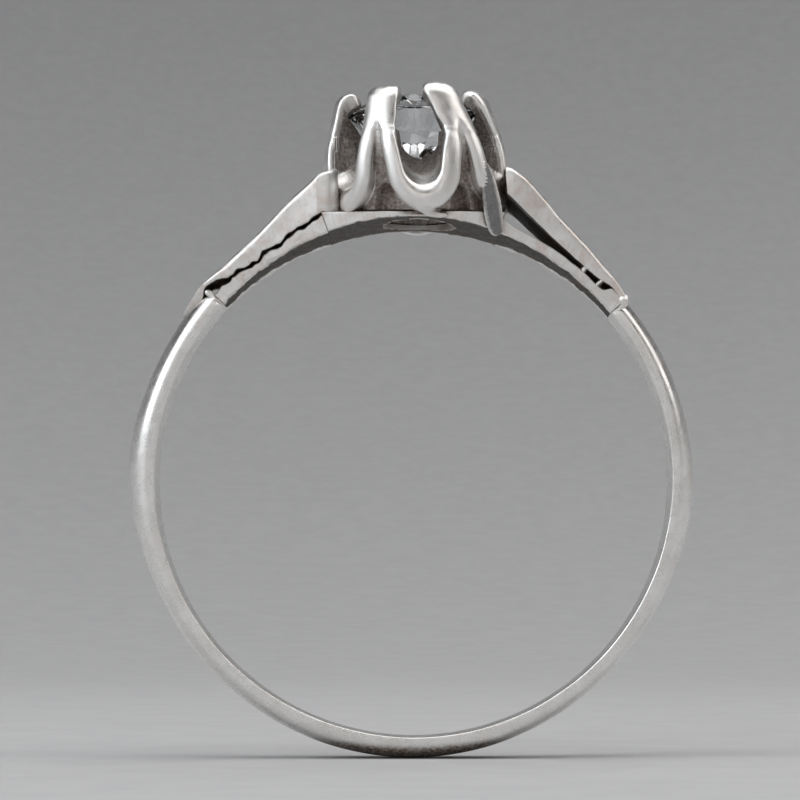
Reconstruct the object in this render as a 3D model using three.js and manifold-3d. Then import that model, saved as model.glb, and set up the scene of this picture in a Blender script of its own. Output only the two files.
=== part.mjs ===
// Solitaire engagement ring: a hand-made band, forked shoulders and a six-claw coronet head
// that holds one round brilliant stone. Units are millimetres.
// Origin: centre of the finger hole. +X to the wearer's side, +Y along the finger, +Z up through
// the stone. Angles along the band are measured in the XZ plane from +Z, positive towards +X.
import * as THREE from "three";
import * as BufferGeometryUtils from "three/addons/utils/BufferGeometryUtils.js";
import Module from "manifold-3d";

const wasm = await Module();
wasm.setup();

// ---------- driving dimensions ----------
const FINGER_RADIUS = 8.55; // inside radius of the band
const BAND_HALF_WIDTH = 0.95; // half the band's width along Y
const GAP = 0.02; // clearance between soldered neighbours

const RIGHT_JOINT = 50.7; // degrees, where the right shoulder meets the shank
const LEFT_JOINT = -48.0; // degrees, where the left shoulder meets the shank
const JOINT_HALF_SEAM = 0.45; // degrees, half the thickness of a solder seam

const SADDLE_TOP = 8.7; // height of the flat that the head stands on
const SADDLE_END = 19.2; // degrees, half the length of the saddle
const SHOULDER_HALF_WIDTH = 1.72; // half width of the shoulders where they meet the head
const SADDLE_BOW = 0.33; // how far the saddle's front edge swells past the shoulders' line
const CULET_HOLE_RADIUS = 1.2;
const STRAP_RIGHT_X = 3.18; // the right strap ends square here, the left one follows the head

const HEAD_AXIS_X = 0.2; // where the head's axis meets the saddle
const HEAD_LEAN = 0.05; // sideways shift per unit of height
const LOOP_WIRE_HALF_WIDTH = 0.29;
const LOOP_WIRE_HALF_DEPTH = 0.25;
const LOOP_SPRING = 10.0; // height where a loop's round bottom begins
const CLAW_FOOT = 11.4; // height where two loops run together into one claw

// the claws in order round the head, in degrees of azimuth from -Y towards +X. Each claw is set
// by eye, so its tip, its foot and the split below it stand at slightly different azimuths.
// split is half the angle between the two loop limbs at the spring height; lift is extra height.
const CLAWS = [
  { tip: -83, foot: -84, spring: -84, split: 10, lift: 0.1, width: 0.95 },
  { tip: -24.6, foot: -25.6, spring: -25.4, split: 11.6, lift: 0.04, width: 1.06 },
  { tip: 21.5, foot: 31.8, spring: 33.2, split: 12.2, lift: 0.17, width: 1.1 },
  { tip: 67, foot: 82, spring: 85, split: 10, lift: 0.08, width: 1 },
  { tip: 147, foot: 148.5, spring: 148.5, split: 11, lift: 0.02, width: 1 },
  { tip: 211, foot: 212.5, spring: 212.5, split: 11, lift: 0.04, width: 1 },
];
// centreline height at the lowest point of the loop that follows each claw
const LOOP_BOTTOMS = [9.03, 8.96, 9.42, 9.03, 8.9, 9.03];
const WINDOW_SLOPE = 0.7; // rise per unit of depth of the windows filed through the wall
const WINDOW_MOUTH = 2.9; // distance from the head's axis where the windows begin

const STONE_RADIUS = 2.25;
const STONE_GIRDLE = 12.15; // height of the girdle's middle
const STONE_GIRDLE_HALF = 0.035;
const STONE_TABLE_RATIO = 0.56;
const STONE_CROWN = 0.6; // girdle to table
const STONE_PAVILION = 1.78; // girdle to culet

// ---------- materials ----------
const METAL = { color: 0xdcdcdc, roughness: 0.28, metalness: 1 };
const metal = () => new THREE.MeshStandardMaterial(METAL);
const darkMetal = () => new THREE.MeshStandardMaterial({ color: 0xa9a49c, roughness: 0.45, metalness: 1 });
const solderMetal = () => new THREE.MeshStandardMaterial({ color: 0xbdb8b0, roughness: 0.5, metalness: 1 });
const stoneMaterial = () => new THREE.MeshStandardMaterial({ color: 0xe6eef4, roughness: 0.02, metalness: 0 });

// ---------- helpers ----------
const rad = (degrees) => (degrees * Math.PI) / 180;
const lerp = (a, b, t) => a + (b - a) * t;
const clamp01 = (t) => Math.min(1, Math.max(0, t));

// smooth value through named stations, [[position, value], ...] in rising order
function through(stations) {
  return (x) => {
    if (x <= stations[0][0]) return stations[0][1];
    for (let i = 1; i < stations.length; i++) {
      const [x1, v1] = stations[i];
      if (x > x1) continue;
      const [x0, v0] = stations[i - 1];
      const before = stations[i - 2] ?? stations[i - 1];
      const after = stations[i + 1] ?? stations[i];
      const m0 = (v1 - before[1]) / (x1 - before[0]);
      const m1 = (after[1] - v0) / (after[0] - x0);
      const h = x1 - x0;
      const t = (x - x0) / h;
      const t2 = t * t;
      const t3 = t2 * t;
      return (
        (2 * t3 - 3 * t2 + 1) * v0 + (t3 - 2 * t2 + t) * h * m0 + (3 * t2 - 2 * t3) * v1 + (t3 - t2) * h * m1
      );
    }
    return stations[stations.length - 1][1];
  };
}

// closed solid through a row of rings with the same number of points, capped at both ends
function loft(rings) {
  const count = rings[0].length;
  const positions = [];
  rings.forEach((ring) => ring.forEach((p) => positions.push(p.x, p.y, p.z)));
  const middleOf = (ring) => ring.reduce((s, p) => s.add(p), new THREE.Vector3()).divideScalar(count);
  const first = middleOf(rings[0]);
  const last = middleOf(rings[rings.length - 1]);
  positions.push(first.x, first.y, first.z, last.x, last.y, last.z);
  const firstIndex = rings.length * count;
  const lastIndex = firstIndex + 1;
  const lastRing = (rings.length - 1) * count;
  const index = [];
  for (let i = 0; i + 1 < rings.length; i++) {
    for (let j = 0; j < count; j++) {
      const k = (j + 1) % count;
      const a = i * count + j;
      const b = i * count + k;
      const c = (i + 1) * count + k;
      const d = (i + 1) * count + j;
      index.push(a, b, c, a, c, d);
    }
  }
  for (let j = 0; j < count; j++) {
    const k = (j + 1) % count;
    index.push(firstIndex, k, j);
    index.push(lastIndex, lastRing + j, lastRing + k);
  }
  return faceOut(makeGeometry(positions, index));
}

function makeGeometry(positions, index) {
  const geometry = new THREE.BufferGeometry();
  geometry.setAttribute("position", new THREE.Float32BufferAttribute(positions, 3));
  geometry.setIndex(index);
  return geometry;
}

// turns every triangle round if the solid is inside out
function faceOut(geometry) {
  const p = geometry.getAttribute("position");
  const index = geometry.getIndex().array;
  const a = new THREE.Vector3();
  const b = new THREE.Vector3();
  const c = new THREE.Vector3();
  let volume = 0;
  for (let i = 0; i < index.length; i += 3) {
    a.fromBufferAttribute(p, index[i]);
    b.fromBufferAttribute(p, index[i + 1]);
    c.fromBufferAttribute(p, index[i + 2]);
    volume += a.dot(b.cross(c));
  }
  if (volume < 0) {
    for (let i = 0; i < index.length; i += 3) {
      [index[i + 1], index[i + 2]] = [index[i + 2], index[i + 1]];
    }
  }
  geometry.computeVertexNormals();
  return geometry;
}

function toManifold(geometry) {
  const bare = geometry.clone();
  bare.deleteAttribute("normal");
  bare.deleteAttribute("uv");
  const merged = BufferGeometryUtils.mergeVertices(bare, 1e-5);
  const vertProperties = new Float32Array(merged.getAttribute("position").array);
  const triVerts = new Uint32Array(merged.getIndex().array);
  return new wasm.Manifold(new wasm.Mesh({ numProp: 3, vertProperties, triVerts }));
}

function fromManifold(solid) {
  const mesh = solid.getMesh();
  return faceOut(makeGeometry(Array.from(mesh.vertProperties), Array.from(mesh.triVerts)));
}

// moves every vertex of a geometry with one function
function mapVertices(geometry, move) {
  const p = geometry.getAttribute("position");
  const v = new THREE.Vector3();
  for (let i = 0; i < p.count; i++) {
    v.fromBufferAttribute(p, i);
    move(v);
    p.setXYZ(i, v.x, v.y, v.z);
  }
  return faceOut(geometry);
}

const group = new THREE.Group();
function add(name, geometry, material) {
  const mesh = new THREE.Mesh(geometry, material);
  mesh.name = name;
  group.add(mesh);
  return mesh;
}

// a point of the band: radius from the finger's axis, angle from the top, place along the finger
const bandPoint = (radius, degrees, y) =>
  new THREE.Vector3(radius * Math.sin(rad(degrees)), y, radius * Math.cos(rad(degrees)));

// ---------- shank ----------
// D-shaped wire, filed by hand, so its thickness wanders as it goes round
const shankThickness = through([
  [50, 0.72],
  [62, 0.75],
  [78, 0.76],
  [95, 0.79],
  [112, 0.66],
  [128, 0.6],
  [180, 0.7],
  [235, 0.7],
  [250, 0.74],
  [263, 0.88],
  [275, 0.96],
  [288, 0.87],
  [300, 0.82],
  [312, 0.84],
]);

function shankSection(degrees, scale) {
  const thickness = shankThickness(degrees) * scale;
  const half = BAND_HALF_WIDTH * lerp(0.94, 1, scale);
  const flat = 0.22 * scale;
  const ease = 0.07;
  const outline = [
    [0, -half + ease],
    [0, half - ease],
    [ease, half],
    [flat, half],
  ];
  const arcSteps = 8;
  for (let i = 1; i < arcSteps; i++) {
    const a = (i / arcSteps) * Math.PI;
    outline.push([flat + (thickness - flat) * Math.sin(a), half * Math.cos(a)]);
  }
  outline.push([flat, -half]);
  outline.push([ease, -half]);
  return outline.map(([u, w]) => bandPoint(FINGER_RADIUS + u, degrees, w));
}

const shankStart = RIGHT_JOINT + JOINT_HALF_SEAM + 0.15;
const shankEnd = 360 + LEFT_JOINT - JOINT_HALF_SEAM - 0.15;
const shankRings = [shankSection(shankStart, 0.86), shankSection(shankStart + 1, 0.96)];
const shankSteps = 56;
for (let i = 0; i <= shankSteps; i++) {
  shankRings.push(shankSection(lerp(shankStart + 3, shankEnd - 3, i / shankSteps), 1));
}
shankRings.push(shankSection(shankEnd - 1, 0.97));
shankRings.push(shankSection(shankEnd, 0.88));
add("shank", loft(shankRings), metal());

// ---------- shoulders ----------
// each shoulder is a lower rail that carries on round the finger and an upper strap that rises
// to the side of the head; the two lie close together on the left and gape on the right
const shoulderHalfWidth = (angle) => {
  const t = clamp01((49 - angle) / 30);
  return lerp(BAND_HALF_WIDTH, SHOULDER_HALF_WIDTH, Math.pow(t, 1.3));
};

// a flat bar between two radii, with eased edges; angle is measured away from the top
function barSection(inner, outer, half, side, angle) {
  const ease = Math.min(0.06, (outer - inner) * 0.25);
  const outline = [
    [inner, -half + ease],
    [inner, half - ease],
    [inner + ease, half],
    [outer - ease, half],
    [outer, half - ease],
    [outer, -half + ease],
    [outer - ease, -half],
    [inner + ease, -half],
  ];
  return outline.map(([r, w]) => bandPoint(r, side * angle, w));
}

const leftSlit = through([
  [19, 9.17],
  [24, 9.04],
  [30, 8.88],
  [36, 8.85],
  [42, 8.97],
  [48, 9.22],
]);
const leftCrest = through([
  [13, 11.05],
  [17.5, 10.57],
  [24, 10.04],
  [31.7, 9.63],
  [36, 9.52],
  [42, 9.46],
  [48, 9.5],
]);
const rightRailTop = through([
  [19, 9.06],
  [22, 8.9],
  [26, 8.86],
  [31, 8.85],
  [40, 8.84],
  [46.4, 8.86],
  [51, 8.9],
]);
const rightStrapUnderside = through([
  [13, 10.15],
  [20.4, 9.68],
  [24.3, 9.42],
  [31, 9.12],
  [39, 8.99],
  [43, 9.01],
  [46.5, 9.11],
  [51, 9.0],
]);
const rightCrest = through([
  [13, 11.15],
  [17.9, 10.8],
  [21, 10.6],
  [25.5, 10.22],
  [30, 9.88],
  [40, 9.53],
  [47.6, 9.36],
  [51, 9.24],
]);

const SLIT_HALF = 0.05;

function bar(side, from, to, steps, innerAt, outerAt) {
  const rings = [];
  for (let i = 0; i <= steps; i++) {
    const angle = lerp(from, to, i / steps);
    rings.push(barSection(innerAt(angle), outerAt(angle), shoulderHalfWidth(angle), side, angle));
  }
  return loft(rings);
}

// ---------- head ----------
const headOuter = through([
  [8.4, 3.08],
  [9.3, 3.13],
  [10.0, 3.15],
  [10.62, 3.12],
  [11.02, 3.06],
  [11.43, 2.97],
  [11.83, 2.87],
  [12.24, 2.76],
]);
// hole down the middle of the head that the stone's point hangs in
const headInner = through([
  [8.7, 1.25],
  [10.3, 1.28],
  [10.9, 1.45],
  [11.4, 1.72],
]);
const headWire = (z) => headOuter(z) - LOOP_WIRE_HALF_DEPTH;
const headAxis = (z) => HEAD_AXIS_X - HEAD_LEAN * (z - SADDLE_TOP);

// the head is worked out on a straight upright axis, then leant with this
function seat(v) {
  v.x += headAxis(v.z);
}

// azimuth 0 faces -Y and grows towards +X
const headPoint = (radius, azimuth, z) =>
  new THREE.Vector3(radius * Math.sin(azimuth), -radius * Math.cos(azimuth), z);

// envelope that the shoulders are cut to, so that they fit the head's side
const envelopeProfile = [new THREE.Vector2(0, 8.0)];
for (let i = 0; i <= 8; i++) {
  const z = lerp(8.0, 12.2, i / 8);
  envelopeProfile.push(new THREE.Vector2(headOuter(z) + 2 * GAP, z));
}
envelopeProfile.push(new THREE.Vector2(0, 12.2));
const envelopeGeometry = new THREE.LatheGeometry(envelopeProfile, 48);
envelopeGeometry.rotateX(Math.PI / 2);
const squareEnd = new THREE.BoxGeometry(STRAP_RIGHT_X, 6, 5);
squareEnd.translate(STRAP_RIGHT_X / 2, 0, 10.5);
const envelope = toManifold(mapVertices(mergeOnly(envelopeGeometry), seat)).add(
  toManifold(mergeOnly(squareEnd)),
);

function mergeOnly(geometry) {
  geometry.deleteAttribute("normal");
  geometry.deleteAttribute("uv");
  return BufferGeometryUtils.mergeVertices(geometry, 1e-5);
}

const cutToHead = (geometry) => fromManifold(toManifold(geometry).subtract(envelope));

const leftEnd = -LEFT_JOINT - JOINT_HALF_SEAM - 0.15;
const rightEnd = RIGHT_JOINT - JOINT_HALF_SEAM - 0.15;
const railStart = SADDLE_END + 0.15;

add(
  "lower_rail_left",
  bar(-1, railStart, leftEnd, 12, () => FINGER_RADIUS, (a) => leftSlit(a) - SLIT_HALF),
  metal(),
);
add(
  "lower_rail_right",
  bar(1, railStart, rightEnd, 12, () => FINGER_RADIUS, rightRailTop),
  metal(),
);

// the left strap runs on past the joint as a thin pointed tongue lapped over the shank
function leftStrap() {
  const rings = [];
  const steps = 16;
  for (let i = 0; i <= steps; i++) {
    const angle = lerp(13.5, leftEnd, i / steps);
    const inner = leftSlit(angle) + SLIT_HALF;
    rings.push(barSection(inner, leftCrest(angle), shoulderHalfWidth(angle), -1, angle));
  }
  const tongue = [
    [48.3, 9.4, 9.54, 0.72],
    [49.6, 9.42, 9.53, 0.62],
    [51.5, 9.42, 9.52, 0.46],
    [53.5, 9.42, 9.5, 0.28],
    [55.0, 9.42, 9.47, 0.08],
  ];
  tongue.forEach(([angle, inner, outer, half]) => {
    rings.push(barSection(inner, outer, half, -1, angle));
  });
  return loft(rings);
}
add("upper_strap_left", cutToHead(leftStrap()), metal());
add("upper_strap_right", cutToHead(bar(1, 13.5, rightEnd, 18, rightStrapUnderside, rightCrest)), metal());

// saddle: the part of the band under the head, filed to a flat on top and pierced for the culet
function saddle() {
  const rings = [];
  const steps = 12;
  for (let i = 0; i <= steps; i++) {
    const angle = lerp(-SADDLE_END, SADDLE_END, i / steps);
    const outer = SADDLE_TOP / Math.cos(rad(angle));
    const bow = 1 - Math.pow(angle / SADDLE_END, 2);
    const ring = barSection(FINGER_RADIUS, outer, SHOULDER_HALF_WIDTH, 1, angle);
    ring.forEach((p) => {
      p.y += p.y < 0 ? -SADDLE_BOW * bow : 0;
    });
    rings.push(ring);
  }
  const hole = new THREE.CylinderGeometry(CULET_HOLE_RADIUS, CULET_HOLE_RADIUS, 3, 32);
  hole.rotateX(Math.PI / 2);
  hole.translate(HEAD_AXIS_X, 0, SADDLE_TOP);
  return fromManifold(toManifold(loft(rings)).subtract(toManifold(hole)));
}
add("saddle_plate", saddle(), metal());

// azimuths of the two limbs of the loop that follows claw k, at the foot and at the spring
const nextClaw = (k) => CLAWS[(k + 1) % CLAWS.length];
const turn = (k) => (k + 1 === CLAWS.length ? 360 : 0);
const footSplit = THREE.MathUtils.radToDeg((LOOP_WIRE_HALF_WIDTH + GAP / 2) / headWire(CLAW_FOOT));
function loopSpan(k) {
  const next = nextClaw(k);
  return {
    footFrom: CLAWS[k].foot + footSplit,
    footTo: next.foot + turn(k) - footSplit,
    from: CLAWS[k].spring + CLAWS[k].split,
    to: next.spring + turn(k) - next.split,
    bottom: LOOP_BOTTOMS[k],
  };
}

// a cutter that runs outwards through the head's wall, from its outline as (azimuth, height)
function radialPrism(outline) {
  const ring = (radius) => outline.map(([azimuth, z]) => headPoint(radius, rad(azimuth), z));
  return loft([ring(2.25), ring(4.4)]);
}

function windowCutter(outline, middle) {
  const sideways = new THREE.Vector3(Math.cos(rad(middle)), Math.sin(rad(middle)), 0);
  const facing = new THREE.Vector3(Math.sin(rad(middle)), -Math.cos(rad(middle)), 0);
  const ring = (ahead) =>
    outline.map(([aside, z, sloped]) => {
      const climb = sloped ? WINDOW_SLOPE * (WINDOW_MOUTH - ahead) : 0;
      return new THREE.Vector3()
        .addScaledVector(facing, ahead)
        .addScaledVector(sideways, aside)
        .setZ(Math.min(z + climb, CLAW_FOOT + 0.2));
    });
  return loft([ring(0.2), ring(WINDOW_MOUTH + 1.2)]);
}

// thick tapered cup behind the loops, with a hole down its middle for the stone's point, a window
// filed inwards and upwards in each loop, and an arched recess under each claw
function coronetWall() {
  const outer = [];
  const inner = [];
  const levels = 5;
  for (let i = 0; i <= levels; i++) {
    const z = lerp(SADDLE_TOP + 0.04, CLAW_FOOT - 0.05, i / levels);
    outer.push(new THREE.Vector2(headWire(z) - LOOP_WIRE_HALF_DEPTH - 2 * GAP, z));
    inner.push(new THREE.Vector2(headInner(z), z));
  }
  const profile = [...outer, ...inner.reverse(), outer[0].clone()];
  const shell = new THREE.LatheGeometry(profile, 40);
  shell.rotateX(Math.PI / 2);
  let solid = toManifold(faceOut(mergeOnly(shell)));

  const wireHalf = 6.6; // degrees from a limb's centreline to its edge
  const windowDrop = 0.74;
  const archHalf = 9;
  CLAWS.forEach((clawAt, k) => {
    const span = loopSpan(k);
    const middle = (span.from + span.to) / 2;
    const half = (span.to - span.from) / 2 - wireHalf;
    const halfWidth = WINDOW_MOUTH * Math.sin(rad(half));
    const windowOutline = [
      [-halfWidth, CLAW_FOOT + 0.6, false],
      [halfWidth, CLAW_FOOT + 0.6, false],
    ];
    for (let i = 0; i <= 8; i++) {
      const a = (i / 8) * Math.PI;
      windowOutline.push([halfWidth * Math.cos(a), LOOP_SPRING - windowDrop * Math.sin(a), true]);
    }
    solid = solid.subtract(toManifold(windowCutter(windowOutline, middle)));
    const archOutline = [
      [clawAt.spring - archHalf, SADDLE_TOP - 0.3],
      [clawAt.spring + archHalf, SADDLE_TOP - 0.3],
    ];
    for (let i = 0; i <= 6; i++) {
      const a = (i / 6) * Math.PI;
      archOutline.push([clawAt.spring + archHalf * Math.cos(a), SADDLE_TOP + 0.3 + 0.6 * Math.sin(a)]);
    }
    solid = solid.subtract(toManifold(radialPrism(archOutline)));
  });
  return mapVertices(fromManifold(solid), seat);
}
add("coronet_wall", coronetWall(), darkMetal());

// ring of points round a path point, half-round towards the outside
function wireSection(centre, across, outward, halfWidth, halfDepth, sides) {
  const ring = [];
  for (let i = 0; i < sides; i++) {
    const a = ((i + 0.5) / sides) * 2 * Math.PI;
    const depth = Math.sin(a) > 0 ? halfDepth : halfDepth * 0.96;
    const bulge = Math.sign(Math.sin(a)) * Math.pow(Math.abs(Math.sin(a)), 0.8);
    const reach = Math.sign(Math.cos(a)) * Math.pow(Math.abs(Math.cos(a)), 0.85);
    const p = centre.clone();
    p.addScaledVector(across, halfWidth * reach);
    p.addScaledVector(outward, depth * bulge);
    ring.push(p);
  }
  return ring;
}

// the U-shaped loop after claw k, from that claw's foot down and up to the next claw's foot
function loop(k) {
  const span = loopSpan(k);
  const middle = (span.from + span.to) / 2;
  const half = (span.to - span.from) / 2;
  const limbSteps = 4;
  const bendSteps = 14;
  const down = [];
  const up = [];
  for (let i = 0; i < limbSteps; i++) {
    const t = i / limbSteps;
    const z = lerp(CLAW_FOOT - GAP, LOOP_SPRING, t);
    down.push([lerp(span.footFrom, span.from, t), z]);
    up.unshift([lerp(span.footTo, span.to, t), z]);
  }
  const bend = [];
  for (let i = 0; i <= bendSteps; i++) {
    const a = (i / bendSteps) * Math.PI;
    bend.push([middle - half * Math.cos(a), LOOP_SPRING - (LOOP_SPRING - span.bottom) * Math.sin(a)]);
  }
  const centres = [...down, ...bend, ...up].map(([azimuth, z]) => headPoint(headWire(z), rad(azimuth), z));
  const rings = centres.map((centre, i) => {
    const before = centres[Math.max(0, i - 1)];
    const after = centres[Math.min(centres.length - 1, i + 1)];
    const along = after.clone().sub(before).normalize();
    if (i === 0 || i === centres.length - 1) along.set(0, 0, i === 0 ? -1 : 1);
    const outward = new THREE.Vector3(centre.x, centre.y, 0).normalize();
    const across = new THREE.Vector3().crossVectors(outward, along).normalize();
    return wireSection(centre, across, outward, LOOP_WIRE_HALF_WIDTH, LOOP_WIRE_HALF_DEPTH, 8);
  });
  return mapVertices(loft(rings), seat);
}

// a claw: two loop ends run together, bent in over the edge of the stone and rounded off
const CLAW_LINE = [
  // radius, height, half width, half depth
  [2.715, 11.4, 0.58, 0.245],
  [2.615, 11.8, 0.56, 0.245],
  [2.53, 12.15, 0.54, 0.24],
  [2.46, 12.38, 0.53, 0.23],
  [2.34, 12.56, 0.5, 0.21],
  [2.17, 12.65, 0.45, 0.19],
  [2.01, 12.66, 0.36, 0.15],
  [1.92, 12.65, 0.2, 0.08],
];

function claw(k) {
  const { tip, foot, lift, width } = CLAWS[k];
  const tipHeight = CLAW_LINE[CLAW_LINE.length - 1][1];
  const azimuths = CLAW_LINE.map(([, z]) => rad(lerp(foot, tip, clamp01((z - CLAW_FOOT) / 1.1))));
  const centres = CLAW_LINE.map(([radius, z], i) => {
    const raised = z + (lift * (z - CLAW_FOOT)) / (tipHeight - CLAW_FOOT);
    return headPoint(radius, azimuths[i], raised);
  });
  const rings = centres.map((centre, i) => {
    const before = centres[Math.max(0, i - 1)];
    const after = centres[Math.min(centres.length - 1, i + 1)];
    const along = after.clone().sub(before).normalize();
    if (i === 0) along.set(0, 0, 1);
    const across = new THREE.Vector3(Math.cos(azimuths[i]), Math.sin(azimuths[i]), 0);
    const outward = new THREE.Vector3().crossVectors(across, along).normalize();
    const [, , halfWidth, halfDepth] = CLAW_LINE[i];
    return wireSection(centre, across, outward, halfWidth * width, halfDepth, 10);
  });
  return mapVertices(loft(rings), seat);
}

CLAWS.forEach((_, k) => add(`loop_${k + 1}`, loop(k), metal()));
CLAWS.forEach((_, k) => add(`claw_${k + 1}`, claw(k), metal()));

// ---------- stone ----------
// round brilliant: table, 8 stars, 8 kites, 16 upper girdle facets, girdle, 16 lower girdle
// facets and 8 pavilion mains that meet at the culet
function brilliant() {
  const positions = [];
  const index = [];
  const point = (radius, degrees, z) => {
    positions.push(radius * Math.sin(rad(degrees)), -radius * Math.cos(rad(degrees)), z);
    return positions.length / 3 - 1;
  };
  const girdleTop = STONE_GIRDLE + STONE_GIRDLE_HALF;
  const girdleFoot = STONE_GIRDLE - STONE_GIRDLE_HALF;
  const tableHeight = STONE_GIRDLE + STONE_CROWN;
  const culetHeight = STONE_GIRDLE - STONE_PAVILION;
  const tableRadius = STONE_RADIUS * STONE_TABLE_RATIO;
  const halfStep = Math.cos(rad(22.5));
  const starRadius = STONE_RADIUS * 0.76;
  const crownSlope = (tableHeight - girdleTop) / (STONE_RADIUS - tableRadius);
  const starHeight = tableHeight - (starRadius * halfStep - tableRadius) * crownSlope;
  const lowerRadius = STONE_RADIUS * 0.22;
  const mainSlope = (girdleFoot - culetHeight) / STONE_RADIUS;
  const lowerHeight = culetHeight + lowerRadius * halfStep * mainSlope;
  const table = [];
  const star = [];
  const top = [];
  const foot = [];
  const lower = [];
  for (let k = 0; k < 8; k++) {
    table.push(point(tableRadius, 45 * k, tableHeight));
    star.push(point(starRadius, 45 * k + 22.5, starHeight));
    lower.push(point(lowerRadius, 45 * k + 22.5, lowerHeight));
  }
  for (let k = 0; k < 16; k++) {
    top.push(point(STONE_RADIUS, 22.5 * k, girdleTop));
    foot.push(point(STONE_RADIUS, 22.5 * k, girdleFoot));
  }
  const centre = point(0, 0, tableHeight);
  const culet = point(0, 0, culetHeight);
  for (let k = 0; k < 8; k++) {
    const next = (k + 1) % 8;
    const g = 2 * k;
    const half = 2 * k + 1;
    const g2 = (2 * k + 2) % 16;
    index.push(centre, table[k], table[next]);
    index.push(table[k], star[k], table[next]);
    index.push(table[k], top[g], star[k]);
    index.push(star[k], top[g2], table[next]);
    index.push(star[k], top[g], top[half]);
    index.push(star[k], top[half], top[g2]);
    index.push(culet, lower[k], foot[g]);
    index.push(culet, foot[g2], lower[k]);
    index.push(lower[k], foot[half], foot[g]);
    index.push(lower[k], foot[g2], foot[half]);
  }
  for (let k = 0; k < 16; k++) {
    const next = (k + 1) % 16;
    index.push(top[k], foot[k], foot[next]);
    index.push(top[k], foot[next], top[next]);
  }
  return faceOut(makeGeometry(positions, index));
}
const stone = add("diamond", brilliant(), stoneMaterial());
stone.position.set(headAxis(STONE_GIRDLE), 0, 0);

// ---------- solder ----------
// seam between the shank's end and the two bars of a shoulder
function seam(side, angle, outer) {
  const rings = [];
  for (let i = 0; i <= 2; i++) {
    const at = angle + lerp(-JOINT_HALF_SEAM, JOINT_HALF_SEAM, i / 2);
    const swell = i === 1 ? 0.04 : 0;
    const half = BAND_HALF_WIDTH - 0.06 + swell;
    rings.push(barSection(FINGER_RADIUS + 0.03 - swell / 2, outer + swell, half, side, at));
  }
  return loft(rings);
}
add("solder_seam_left", seam(-1, -LEFT_JOINT, 9.3), solderMetal());
add("solder_seam_right", seam(1, RIGHT_JOINT, 9.16), solderMetal());

// a bead or run of solder: a flattened ball
function bead(centre, size, tilt) {
  const ball = new THREE.SphereGeometry(1, 12, 8);
  ball.scale(size.x, size.y, size.z);
  ball.rotateY(rad(tilt));
  ball.translate(centre.x, centre.y, centre.z);
  return faceOut(mergeOnly(ball));
}
const V = (x, y, z) => new THREE.Vector3(x, y, z);
add("solder_bead_right", bead(bandPoint(9.4, 50.2, -0.62), V(0.16, 0.18, 0.16), 50), solderMetal());

// the two bridges of solder that close the narrow end of the right shoulder's gap
function bridge(from, to) {
  const rings = [];
  for (let i = 0; i <= 4; i++) {
    const angle = lerp(from, to, i / 4);
    const inner = rightRailTop(angle) + GAP;
    const outer = rightStrapUnderside(angle) - GAP;
    const half = shoulderHalfWidth(angle) * lerp(0.82, 0.94, Math.sin((i / 4) * Math.PI));
    rings.push(barSection(inner, outer, half, 1, angle));
  }
  return loft(rings);
}
add("solder_bridge_right_1", bridge(38.6, 40.6), solderMetal());
add("solder_bridge_right_2", bridge(43.2, 45.2), solderMetal());

// a tapering run of metal that ties the front loop's foot to the front edge of the saddle
function run(points, sides) {
  const centres = points.map(([x, y, z]) => V(x, y, z));
  const rings = centres.map((centre, i) => {
    const before = centres[Math.max(0, i - 1)];
    const after = centres[Math.min(centres.length - 1, i + 1)];
    const along = after.clone().sub(before).normalize();
    const across = new THREE.Vector3().crossVectors(V(0, 0, 1), along).normalize();
    const outward = new THREE.Vector3().crossVectors(along, across).normalize();
    return wireSection(centre, across, outward, points[i][3], points[i][4], sides);
  });
  return loft(rings);
}
add(
  "solder_tail_front",
  run(
    [
      [0.24, -3.12, 8.6, 0.17, 0.06],
      [0.34, -2.9, 8.55, 0.2, 0.1],
      [0.5, -2.6, 8.5, 0.18, 0.11],
      [0.7, -2.36, 8.42, 0.14, 0.1],
      [0.88, -2.25, 8.36, 0.07, 0.06],
    ],
    8,
  ),
  solderMetal(),
);

// a flat leg of metal that runs down the front of the saddle's right end
function leg() {
  const front = -SHOULDER_HALF_WIDTH - 0.3;
  const back = -SHOULDER_HALF_WIDTH - 0.16;
  const outline = [
    [2.36, 8.68],
    [2.38, 8.3],
    [2.58, 7.98],
    [2.82, 7.9],
    [2.98, 8.3],
    [3.02, 8.66],
  ];
  const ring = (y, grow) =>
    outline.map(([x, z]) => V(2.68 + (x - 2.68) * grow, y, 8.3 + (z - 8.3) * grow));
  return loft([ring(front, 0.88), ring(front + 0.05, 1), ring(back, 1)]);
}
add("solder_leg_right", leg(), solderMetal());

export default group;
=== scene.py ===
"""Engagement ring: fine surfaces, materials, floor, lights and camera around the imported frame.

Shapes are worked out in millimetres, in the frame's own axes: +X right, +Y away from the camera,
+Z up through the stone, origin at the centre of the finger hole. Meshes are made in metres.
"""

from math import cos, degrees, hypot, pi, radians, sin, sqrt, tan

import bpy
import numpy as np
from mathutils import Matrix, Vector, noise
from mathutils.kdtree import KDTree


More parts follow.
